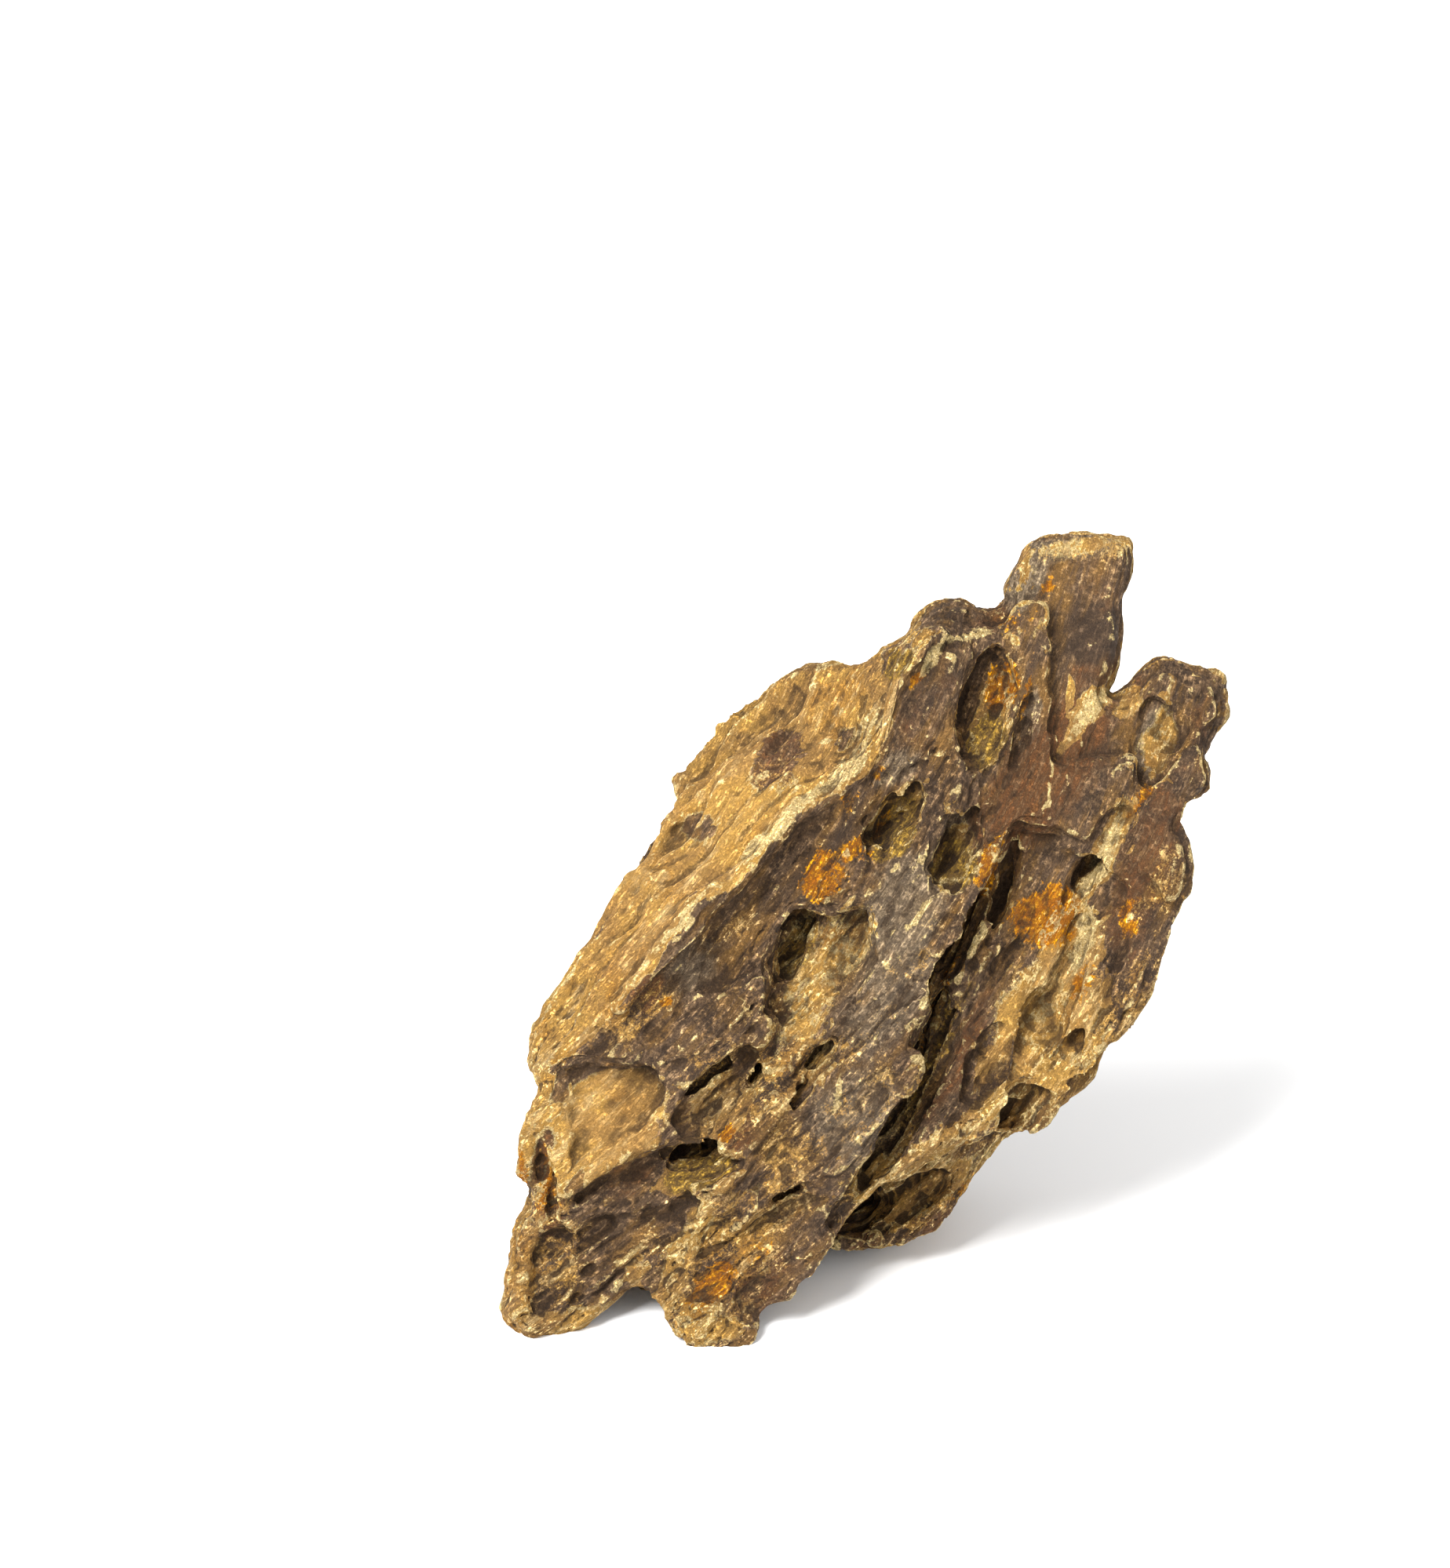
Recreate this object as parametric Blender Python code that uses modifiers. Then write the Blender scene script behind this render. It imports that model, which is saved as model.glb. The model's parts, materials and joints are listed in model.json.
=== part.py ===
"""Dragon stone: one weathered, layered claystone slab that stands on its own broken foot.

The stone is drawn in its own face frame, in millimetres: x to the right, z up along the face
and y away from the viewer, so y is the depth behind the frontmost plane. The finished stone
is then leaned back, cut level where it stands, and set with its foot on the floor.
"""

import math
import random

import bpy
import numpy as np
from mathutils import Matrix, Vector, noise

MM = 0.001

LEAN_BACK_DEG = 25.0
BLOCK_DEPTH = 40.0  # depth of the plain extruded block, before it is stretched to the real depth
FIRST_VOXEL = 1.8
FINE_VOXEL = 1.45
TRIANGLES = 9700
SINK = 1.0  # how much of the foot is cut off level
THINNEST = 10.0  # the least thickness that the front and back leave between them

# The face's outline, from the left foot up the left side and round.
OUTLINE = [
    (-85, 1), (-92, 9), (-92, 17), (-89, 30), (-86, 36), (-86, 40), (-90, 45), (-88, 54), (-86, 61),
    (-84, 67), (-86, 72), (-85, 78), (-82, 84), (-74, 96), (-69, 104), (-65, 115), (-63, 122),
    (-58, 125), (-54, 132), (-51, 139), (-51, 146), (-48, 150), (-44, 150), (-38, 156), (-30, 163),
    (-24, 167), (-20, 172), (-12, 176), (-5, 178), (0, 176), (4, 179), (13, 184), (14, 188),
    (20, 192), (25, 193), (33, 190), (37, 192), (38, 199), (42, 207), (47, 210), (57, 212),
    (71, 209), (71, 201), (68, 192), (68, 183), (66, 174), (63, 169), (66, 167), (71, 171),
    (74, 175), (79, 178), (84, 175), (94, 174), (95, 163), (90, 157), (90, 150), (90, 144),
    (83, 141), (81, 135), (83, 124), (80, 111), (76, 102), (74, 91), (72, 86), (68, 80), (63, 73),
    (61, 68), (52, 60), (44, 53), (37, 49), (31, 38), (25, 32), (20, 26), (9, 23), (-7, 20),
    (-14, 14), (-24, 10), (-28, 4), (-32, 1), (-40, 1), (-48, 5), (-52, 11), (-59, 14), (-68, 7),
    (-76, 3),
]

# The shoulder between the face and the pale side that falls away on the left, from the foot up.
SHOULDER = [
    (-86, 0), (-88, 40), (-85, 62), (-75, 74), (-62, 88), (-50, 103), (-43, 113), (-32, 120),
    (-18, 136), (-6, 143), (3, 150), (7, 157), (8, 169), (13, 177), (18, 184), (24, 200),
]
SIDE_SLOPE = 0.85
SHOULDER_WIDTH = 4.0
RIGHT_START, RIGHT_SLOPE = 24.0, 0.10  # the face falls back a little to the right of this x
TOP_START, TOP_SLOPE = 110.0, 0.05  # and above this z

# Steps where a layer of the stone ends: the line, the drop on its right, and the step's width.
STEPS = [
    ([(-8, 36), (-1, 47), (5, 56), (11, 64), (15, 71), (16, 76), (11, 77), (14, 83), (17, 90),
      (19, 99), (24, 107), (29, 115), (33, 125), (38, 133)], 7.0, 1.6),
    ([(-76, 41), (-64, 48), (-56, 52), (-50, 51), (-44, 50)], 2.5, 1.2),
    ([(-32, 31), (-22, 38), (-14, 42), (-5, 39)], 3.0, 1.0),
    ([(50, 152), (48, 172), (47, 194)], 4.0, 1.0),
    ([(36, 58), (42, 76), (48, 92), (57, 118)], 2.2, 1.2),
]
STEP_END = 7.0  # a step dies out over this length past the ends of its line
STEP_REACH = 30.0  # how far from its line a step's drop stays whole
STEP_RETURN = 20.0  # and over what width it then comes back

# The lower ledge at the right foot, set back behind the face.
LEDGE_LINE = [(-30, -6), (-10, 24), (2, 38), (16, 48), (34, 55), (60, 52)]
LEDGE_DROP = 20.0
LEDGE_WIDTH = 2.5

# Crests: the line, the height and the half width.
CRESTS = [
    ([(-62, 88), (-50, 103), (-43, 113), (-32, 120), (-18, 136), (-6, 143), (6, 156), (8, 169),
      (18, 184)], 3.4, 3.4),
    ([(-79, 70), (-72, 75), (-64, 77), (-54, 77), (-50, 71)], 2.2, 3.0),
    ([(-40, 44), (-44, 30), (-50, 14)], 3.2, 6.0),
    ([(40, 106), (28, 95), (20, 82), (17, 70)], 3.0, 2.4),
    ([(54, 96), (50, 82), (47, 66)], 1.6, 2.5),
    ([(0, 160), (-30, 138), (-52, 112), (-68, 92)], 1.8, 4.0),
    ([(-14, 166), (-36, 150), (-46, 138)], 1.6, 4.0),
]

# Parts of the face that a layer is missing from: the rim, a point (x, z), the depth there, and
# the change of depth along x and z.
RECESSES = [
    ([(-96, 38), (-81, 37), (-74, 29), (-67, 33), (-52, 36), (-43, 42), (-41, 38), (-46, 24),
      (-51, 8), (-70, -8), (-98, -8)], (-60, 30), 3.0, 0.0, 0.0),
    ([(-76, 73), (-64, 74), (-51, 73), (-50, 66), (-54, 60), (-57, 55), (-64, 52), (-71, 47),
      (-76, 42), (-75, 56), (-77, 65)], (-58, 70), 4.0, 0.02, 0.06),
    ([(-25, 97), (-22, 109), (-16, 114), (-11, 114), (-9, 112), (0, 114), (2, 112), (3, 99),
      (-1, 93), (-2, 83), (-6, 78), (-16, 65), (-22, 69), (-28, 67), (-27, 73), (-24, 80),
      (-22, 85), (-27, 87)], (-14, 110), 8.0, -0.12, 0.13),
    ([(-51, 60), (-47, 64), (-44, 70), (-41, 74), (-35, 78), (-30, 80), (-26, 77), (-26, 70),
      (-30, 62), (-38, 56), (-45, 54)], (-40, 73), 6.0, -0.12, 0.22),
    ([(14, 186), (17, 183), (24, 184), (33, 182), (38, 184), (39, 194), (25, 198), (11, 194)],
     (24, 184), 0.8, 0.0, 0.9),
]
RECESS_WIDTH = 1.6

EDGE_ROUND = 4.0
BACK_ROUND = 15.0
BACK_FACETS = [  # a point on the back (x, z), the depth there, and the change of depth along x and z
    ((0, 60), 86.0, 0.05, -0.18),
    ((0, 130), 62.0, 0.20, -0.48),
    ((-60, 60), 60.0, 0.66, -0.10),
    ((60, 110), 56.0, -0.34, -0.32),
    ((40, 190), 36.0, 0.02, -0.22),
]

WALL_SHARE = 0.35  # how much deeper a scoop is under its upper left wall than in its middle

# Shallow scoops in the face: centre, length, width, depth and the tilt of the long axis.
SCOOPS = [
    ((-16, 96), 30, 12, 3.0, 72), ((-5, 100), 24, 8, 2.5, 70), ((60, 125), 34, 8, 4.5, 61),
    ((32, 166), 34, 13, 5.0, 73), ((42, 159), 26, 6, 4.5, 78), ((76, 155), 22, 9, 5.0, 82),
    ((-60, 45), 34, 10, 2.0, 25), ((-36, 64), 20, 8, 2.0, 40), ((-80, 20), 24, 10, 5.0, 78),
    ((-18, 36), 32, 9, 4.0, 30), ((-14, 74), 18, 5, 4.0, 45), ((42, 60), 14, 7, 3.5, 40),
    ((-18, 155), 18, 9, 3.0, 50), ((-5, 157), 10, 7, 2.5, 60), ((24, 88), 28, 7, 3.0, 62),
    ((52, 92), 30, 8, 2.5, 68), ((-34, 112), 36, 9, 2.5, 42), ((14, 36), 26, 8, 4.5, 35),
    ((-46, 130), 26, 10, 3.0, 52), ((-62, 108), 24, 8, 2.5, 58), ((-74, 88), 22, 7, 2.0, 56),
    ((66, 98), 24, 7, 2.5, 66), ((32, 72), 24, 7, 2.5, 60), ((-82, 48), 16, 5, 2.5, 95),
    ((-28, 14), 20, 9, 2.5, 60), ((56, 196), 14, 8, 2.0, 20), ((24, 182), 14, 6, 2.0, 40),
]

# Deep pits and clefts: centre, length, width, depth, tilt of the long axis, undercut towards the
# left, and how much deeper the upper end is.
PITS = [
    ((-17, 105), 24, 11, 14, 62, 30, 14), ((8, 134), 24, 11, 13, 56, 24, 16),
    ((23, 128), 22, 12, 9, 62, 14, 10), ((38, 121), 24, 5, 9, 76, 14, 14),
    ((24, 107), 54, 6, 14, 65, 24, 4), ((14, 68), 62, 9, 22, 62, 24, 3),
    ((-41, 48), 18, 8, 15, 18, 26, 10), ((-77, 31), 10, 6, 10, 66, 10, 0),
    ((0, 32), 18, 9, 22, 34, 10, 0), ((-27, 70), 9, 4, 8, 60, 10, 0),
    ((-11, 75), 15, 4, 8, 48, 20, 6), ((-16, 66), 11, 4, 5, 50, 20, 6),
    ((-41, 72), 20, 5, 8, 40, 34, 0), ((60, 125), 24, 5, 5, 61, 20, 6),
    ((32, 164), 31, 10, 8, 76, 24, 6), ((42, 159), 24, 4, 8, 80, 16, 0),
    ((75, 156), 18, 8, 4, 84, 12, 4), ((40, 60), 15, 6, 5, 42, 16, 0),
    ((-19, 40), 13, 3, 7, 30, 20, 0), ((55, 78), 12, 5, 4, 70, 16, 0),
]
PIT_SEGMENTS, PIT_RINGS = 16, 10
PIT_ROUGHNESS = 0.44  # how uneven the pits' walls are, as a share of their size
PIT_LUMPS = 1.7  # how many lumps that takes across a pit
PIT_VARY = 0.37  # and how fast they differ from one pit to the next

# Scoops in the back are spread by a seeded draw: count, seed, and the least and most of each size.
BACK_SCOOP_COUNT = 60
BACK_SEED = 12
BACK_ACROSS, BACK_UP = (-88, 86), (22, 205)
BACK_LENGTH = (16, 46)
BACK_WIDTH = (7, 15)
BACK_DEPTH = (5.0, 11.0)
BACK_TILT = (50, 78)
BACK_STEPS = [  # as the steps of the front: line, drop, width
    ([(-70, 40), (-52, 62), (-36, 92), (-22, 120), (-16, 150)], -7.0, 3.0),
    ([(6, 30), (22, 58), (30, 92), (44, 118), (50, 150)], -8.0, 3.0),
]
BACK_PITS = [
    ((-8, 118), 40, 12, 14, 68, 24, 8), ((30, 92), 36, 10, 14, 60, 20, 6),
    ((40, 150), 26, 9, 9, 74, 16, 6), ((-40, 76), 28, 10, 12, 56, 18, 6),
    ((-14, 70), 22, 9, 11, 60, 18, 4), ((4, 152), 18, 8, 9, 66, 16, 4),
    ((56, 116), 20, 8, 9, 64, 18, 4), ((-56, 100), 16, 8, 9, 58, 12, 4),
    ((2, 46), 20, 9, 10, 50, 14, 4),
]
SIDE_PITS = [  # on the rim: centre, depth of the centre, then as the other pits
    ((82, 112), 34, 32, 16, 9, 66, 0, 8), ((72, 84), 24, 22, 13, 7, 62, 0, 4),
    ((58, 60), 44, 26, 14, 9, 50, 0, 0), ((90, 150), 24, 18, 11, 6, 85, 0, 0),
    ((-80, 92), 46, 36, 16, 9, 56, 0, 6), ((-60, 124), 48, 24, 14, 8, 58, 0, 0),
    ((-92, 26), 34, 20, 14, 8, 80, 0, 0), ((70, 188), 24, 22, 9, 5, 85, 0, 0),
    ((30, 34), 46, 18, 10, 8, 40, 0, 0),
]

# Hollow under the foot, so that the stone stands on its rim: centre on the floor, half sizes.
UNDER_HOLLOW = ((-22, 40), (34, 19, 7))
HOLLOW_SEGMENTS, HOLLOW_RINGS = 24, 12
FLOOR_BLOCK = 600.0  # side of the block below the floor that cuts the foot level

# The bedding runs in wide arcs about this point, from lower left to upper right.
BEDDING_CENTRE = (-287, 301)
BEDDING_RADIUS = 350.0
TERRACES = [  # length along the bedding, width across it, height of one step, levels, seed shift
    (58.0, 15.0, 1.7, 3.2, 4.0),
    (26.0, 7.5, 0.9, 2.8, 31.0),
]
LAYER_REACH, LAYER_THICKNESS, LAYER_SHIFT = 75.0, 11.0, 17.0  # the layers seen on the stone's rim
LAYER_CUT, LAYER_EDGE, LAYER_START = 5.0, 0.3, 8.0  # how deep, how sharply and from where they cut in
RIM_CALM = 0.6  # how much weaker this relief is on the stone's rim than on its front and back
RISER = 0.25  # the share of a level that its riser takes
LUMPS = [(40.0, 1.8, 8.0), (15.0, 1.1, 52.0)]  # size, height, seed shift

STONE_COLOUR = (0.20, 0.125, 0.075, 1.0)


def clear_scene():
    for item in list(bpy.data.objects):
        bpy.data.objects.remove(item, do_unlink=True)


def collection_named(name):
    group = bpy.data.collections.new(name)
    bpy.context.scene.collection.children.link(group)
    return group


def smooth_step(value):
    clipped = np.clip(value, 0.0, 1.0)
    return clipped * clipped * (3.0 - 2.0 * clipped)


def distance_to_line(x, z, line, closed=False):
    """Distance of each point to a line of several runs, and its side: above 0 is to the left."""
    points = list(line) + ([line[0]] if closed else [])
    nearest = np.full(x.shape, np.inf)
    side = np.zeros(x.shape)
    for (ax, az), (bx, bz) in zip(points, points[1:]):
        run_x, run_z = bx - ax, bz - az
        along = np.clip(((x - ax) * run_x + (z - az) * run_z) / (run_x**2 + run_z**2), 0.0, 1.0)
        away = np.hypot(x - ax - along * run_x, z - az - along * run_z)
        turn = run_x * (z - az) - run_z * (x - ax)
        closer = away < nearest
        side = np.where(closer, np.sign(turn), side)
        nearest = np.where(closer, away, nearest)
    return nearest, side


def inside_share(x, z, rim, width):
    """1 well inside a closed rim, 0 well outside, and a smooth step of that width between."""
    away, _ = distance_to_line(x, z, rim, closed=True)
    crossings = np.zeros(x.shape, int)
    for (ax, az), (bx, bz) in zip(rim, rim[1:] + rim[:1]):
        spans = (az > z) != (bz > z)
        at = ax + (z - az) * (bx - ax) / (bz - az if bz != az else 1.0)
        crossings += spans & (x < at)
    return smooth_step(0.5 + np.where(crossings % 2 == 1, away, -away) / width)


def scoop_depth(x, z, centre, length, width, depth, tilt):
    """Depth of a hollow with a steep wall up to the left and a gentle one down to the right."""
    angle = math.radians(tilt)
    along = ((x - centre[0]) * math.cos(angle) + (z - centre[1]) * math.sin(angle)) / (length / 2)
    across = ((x - centre[0]) * math.sin(angle) - (z - centre[1]) * math.cos(angle)) / (width / 2)
    inside = np.clip(1.0 - along**2 - across**2, 0.0, None)
    return depth * np.sqrt(inside) * (1.0 - WALL_SHARE * across)


def step_depth(x, z, line, drop, width):
    """The drop to the right of a line, which dies out past the line's ends."""
    away, side = distance_to_line(x, z, line)
    start, end = np.array(line[0], float), np.array(line[-1], float)
    run = (end - start) / np.hypot(*(end - start))
    along = (x - start[0]) * run[0] + (z - start[1]) * run[1]
    past = np.maximum(-along, along - np.hypot(*(end - start)))
    fade = 1.0 - smooth_step(past / STEP_END)
    reach = 1.0 - smooth_step((away - STEP_REACH) / STEP_RETURN)
    return drop * fade * reach * smooth_step(0.5 - away * side / width)


def bedding(x, z):
    """Each point's place along the bedding and across it."""
    across = np.hypot(x - BEDDING_CENTRE[0], z - BEDDING_CENTRE[1])
    along = BEDDING_RADIUS * np.arctan2(z - BEDDING_CENTRE[1], x - BEDDING_CENTRE[0])
    return along, across


def noise_at(columns, shift):
    moved = np.stack(columns, 1) + (shift, -shift, 2 * shift)
    return np.array([noise.noise(point) for point in moved])


def terrace_depth(x, y, z):
    """Flat treads and steep risers that follow the bedding, as the layers flake away."""
    along, across = bedding(x, z)
    depth = np.zeros(x.shape)
    for length, width, height, levels, shift in TERRACES:
        level = levels * noise_at((along / length, across / width, y / 60.0), shift)
        tread = np.floor(level)
        depth += height * (tread + smooth_step((level - tread - 0.5) / RISER + 0.5))
    return depth


def front_depth(x, z):
    """How far the front lies behind the frontmost plane, at each point of the face."""
    away, side = distance_to_line(x, z, SHOULDER)
    on_side = np.clip(away * side, 0.0, None)
    depth = SIDE_SLOPE * np.where(on_side > SHOULDER_WIDTH, on_side - SHOULDER_WIDTH / 2,
                                  on_side**2 / (2 * SHOULDER_WIDTH))
    for start, slope, heights in ((RIGHT_START, RIGHT_SLOPE, x), (TOP_START, TOP_SLOPE, z)):
        depth += slope * np.clip(heights - start, 0.0, None)
    for line, drop, width in STEPS:
        depth += step_depth(x, z, line, drop, width)
    away, side = distance_to_line(x, z, LEDGE_LINE)
    depth += LEDGE_DROP * smooth_step(0.5 - away * side / LEDGE_WIDTH)
    for rim, (at_x, at_z), drop, along_x, along_z in RECESSES:
        sunk = np.clip(drop + along_x * (x - at_x) + along_z * (z - at_z), 0.0, None)
        depth += sunk * inside_share(x, z, rim, RECESS_WIDTH)
    for line, height, half_width in CRESTS:
        away, _ = distance_to_line(x, z, line)
        depth -= height * np.exp(-((away / half_width) ** 2))
    for scoop in SCOOPS:
        depth += scoop_depth(x, z, *scoop)
    return depth


def back_scoops():
    draw = random.Random(BACK_SEED)
    for _ in range(BACK_SCOOP_COUNT):
        centre = (draw.uniform(*BACK_ACROSS), draw.uniform(*BACK_UP))
        sizes = [draw.uniform(*limits) for limits in (BACK_LENGTH, BACK_WIDTH, BACK_DEPTH, BACK_TILT)]
        yield centre, *sizes


def back_depth(x, z):
    """Depth of the back: the nearest of a few broken planes, scooped out all over."""
    planes = [depth + along_x * (x - px) + along_z * (z - pz)
              for (px, pz), depth, along_x, along_z in BACK_FACETS]
    depth = np.min(planes, axis=0)
    hollow = np.zeros(x.shape)
    for scoop in back_scoops():
        hollow = np.maximum(hollow, scoop_depth(x, z, *scoop))
    for line, drop, width in BACK_STEPS:
        depth += step_depth(x, z, line, drop, width)
    return depth - hollow


def edge_shrink(inset, radius):
    """How far a rounded edge falls away from the face, at a distance inside the outline."""
    rest = np.clip(1.0 - inset / radius, 0.0, 1.0)
    return radius * (1.0 - np.sqrt(1.0 - rest**2))


def read_points(mesh):
    points = np.empty(len(mesh.vertices) * 3, np.float32)
    mesh.vertices.foreach_get("co", points)
    return points.reshape(-1, 3).astype(float)


def write_points(mesh, points):
    mesh.vertices.foreach_set("co", points.astype(np.float32).ravel())
    mesh.update()


def apply_modifiers(thing):
    """Bakes the object's modifiers into its mesh."""
    graph = bpy.context.evaluated_depsgraph_get()
    graph.update()
    baked = bpy.data.meshes.new_from_object(thing.evaluated_get(graph))
    thing.modifiers.clear()
    thing.data = baked


def remesh(thing, voxel):
    cells = thing.modifiers.new("Remesh", "REMESH")
    cells.mode = "VOXEL"
    cells.voxel_size = voxel * MM
    apply_modifiers(thing)


def outline_block(group):
    """The face's outline, extruded to a plain block with its front at depth 0."""
    curve = bpy.data.curves.new("outline", "CURVE")
    curve.dimensions = "2D"
    curve.fill_mode = "BOTH"
    curve.extrude = BLOCK_DEPTH / 2 * MM
    spline = curve.splines.new("POLY")
    spline.points.add(len(OUTLINE) - 1)
    for point, (x, z) in zip(spline.points, OUTLINE):
        point.co = (x * MM, z * MM, 0.0, 1.0)
    spline.use_cyclic_u = True
    flat = bpy.data.objects.new("outline", curve)
    group.objects.link(flat)
    bpy.context.view_layer.update()
    mesh = bpy.data.meshes.new_from_object(flat.evaluated_get(bpy.context.evaluated_depsgraph_get()))
    bpy.data.objects.remove(flat)
    upright = Matrix.Rotation(math.pi / 2, 4, "X")
    mesh.transform(Matrix.Translation((0, BLOCK_DEPTH / 2 * MM, 0)) @ upright)
    stone = bpy.data.objects.new("dragon_stone", mesh)
    group.objects.link(stone)
    return stone


def shape_block(stone):
    """Moves the block's front and back to their real depths, and rounds its edges."""
    points = read_points(stone.data) / MM
    x, y, z = points.T
    inset, _ = distance_to_line(x, z, OUTLINE, closed=True)
    front = front_depth(x, z) + edge_shrink(inset, EDGE_ROUND)
    back = back_depth(x, z) - edge_shrink(inset, BACK_ROUND)
    back = np.maximum(back, front + THINNEST)
    share = np.clip(y / BLOCK_DEPTH, 0.0, 1.0)
    points[:, 1] = front + (back - front) * share
    write_points(stone.data, points * MM)


def roughen(stone):
    """Flakes the surface into terraces and lumps, by moving each point along its normal."""
    points = read_points(stone.data) / MM
    normals = np.empty(len(points) * 3, np.float32)
    stone.data.vertices.foreach_get("normal", normals)
    normals = normals.reshape(-1, 3)
    x, y, z = points.T
    push = -terrace_depth(x, y, z)
    for size, height, shift in LUMPS:
        push += height * noise_at((x / size, y / size, z / size), shift)
    sideways = np.hypot(normals[:, 0], normals[:, 2])
    push *= 1.0 - RIM_CALM * sideways
    layer = noise_at((x / LAYER_REACH, y / LAYER_THICKNESS, z / LAYER_REACH), LAYER_SHIFT)
    behind = smooth_step(y / LAYER_START - 0.5)
    push -= LAYER_CUT * sideways * behind * smooth_step(0.5 + layer / LAYER_EDGE)
    points += normals * push[:, None]
    write_points(stone.data, points * MM)


def keep_as_cutter(thing, group, name):
    thing.name = name
    for owner in list(thing.users_collection):
        owner.objects.unlink(thing)
    group.objects.link(thing)
    thing.hide_render = True
    thing.display_type = "WIRE"
    return thing


def pit_cutter(group, name, centre, depth_at, length, width, depth, tilt, undercut, pitch):
    """A long egg lying in the surface: its middle is at the surface, so half of it cuts."""
    bpy.ops.mesh.primitive_uv_sphere_add(segments=PIT_SEGMENTS, ring_count=PIT_RINGS, radius=1.0)
    cutter = keep_as_cutter(bpy.context.object, group, name)
    size = Matrix.Diagonal((length / 2 * MM, depth * MM, width / 2 * MM, 1.0))
    for vertex in cutter.data.vertices:
        uneven = noise.noise(vertex.co * PIT_LUMPS + Vector((centre[0], centre[1], 0.0)) * PIT_VARY)
        vertex.co *= 1.0 + PIT_ROUGHNESS * uneven
    nose_down = Matrix.Rotation(math.radians(pitch), 4, "Z")
    lean = Matrix.Rotation(math.radians(undercut), 4, "X")
    turn = Matrix.Rotation(-math.radians(tilt), 4, "Y")
    place = Matrix.Translation(Vector((centre[0], depth_at, centre[1])) * MM)
    cutter.data.transform(place @ turn @ lean @ nose_down @ size)


def cut(stone, cutters):
    """Cuts all of a collection's cutters out of the stone at once."""
    difference = stone.modifiers.new(cutters.name, "BOOLEAN")
    difference.operation = "DIFFERENCE"
    difference.operand_type = "COLLECTION"
    difference.collection = cutters
    apply_modifiers(stone)


def carve_pits(stone, cutters):
    for number, ((x, z), *size) in enumerate(PITS, 1):
        depth_at = float(front_depth(np.array([x]), np.array([z]))[0])
        pit_cutter(cutters, f"pit_cutter_{number}", (x, z), depth_at, *size)
    for number, ((x, z), *size) in enumerate(BACK_PITS, 1):
        depth_at = float(back_depth(np.array([x]), np.array([z]))[0])
        pit_cutter(cutters, f"back_pit_cutter_{number}", (x, z), depth_at, *size)
    for number, ((x, z), depth_at, *size) in enumerate(SIDE_PITS, 1):
        pit_cutter(cutters, f"side_pit_cutter_{number}", (x, z), depth_at, *size)
    cut(stone, cutters)


def thin_out(stone):
    stone.data.calc_loop_triangles()
    fewer = stone.modifiers.new("Decimate", "DECIMATE")
    fewer.ratio = TRIANGLES / len(stone.data.loop_triangles)
    apply_modifiers(stone)


def stand_up(stone, cutters):
    """Leans the stone back, cuts its foot level and sets the middle of its base on the origin."""
    stone.data.transform(Matrix.Rotation(-math.radians(LEAN_BACK_DEG), 4, "X"))
    stone.data.transform(Matrix.Translation((0, 0, -SINK * MM)))
    bpy.ops.mesh.primitive_cube_add(size=FLOOR_BLOCK * MM, location=(0, 0, -FLOOR_BLOCK / 2 * MM))
    keep_as_cutter(bpy.context.object, cutters, "floor_cutter")
    (x, y), half_sizes = UNDER_HOLLOW
    bpy.ops.mesh.primitive_uv_sphere_add(segments=HOLLOW_SEGMENTS, ring_count=HOLLOW_RINGS, radius=1.0)
    hollow = keep_as_cutter(bpy.context.object, cutters, "under_hollow_cutter")
    shape = Matrix.Diagonal((*[half * MM for half in half_sizes], 1.0))
    hollow.data.transform(Matrix.Translation((x * MM, y * MM, 0.0)) @ shape)
    cut(stone, cutters)
    points = read_points(stone.data)
    low, high = points.min(axis=0), points.max(axis=0)
    shift = Vector(((low[0] + high[0]) / 2, (low[1] + high[1]) / 2, low[2]))
    stone.data.transform(Matrix.Translation(-shift))
    print("base shift, mm:", [round(value / MM, 3) for value in shift])


def stone_material():
    material = bpy.data.materials.new("weathered claystone")
    material.use_nodes = True
    shader = material.node_tree.nodes["Principled BSDF"]
    shader.inputs["Base Color"].default_value = STONE_COLOUR
    shader.inputs["Roughness"].default_value = 0.85
    shader.inputs["Metallic"].default_value = 0.0
    return material


def main():
    clear_scene()
    group = collection_named("dragon stone")
    stone = outline_block(group)
    remesh(stone, FIRST_VOXEL)
    shape_block(stone)
    remesh(stone, FINE_VOXEL)
    roughen(stone)
    remesh(stone, FINE_VOXEL)
    carve_pits(stone, collection_named("pit cutters"))
    remesh(stone, FINE_VOXEL)
    thin_out(stone)
    stand_up(stone, collection_named("foot cutters"))
    stone.data.materials.clear()
    stone.data.materials.append(stone_material())


main()
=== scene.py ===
import json
import math
import random

import bpy
import numpy as np
from mathutils import Matrix, Vector, noise

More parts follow.
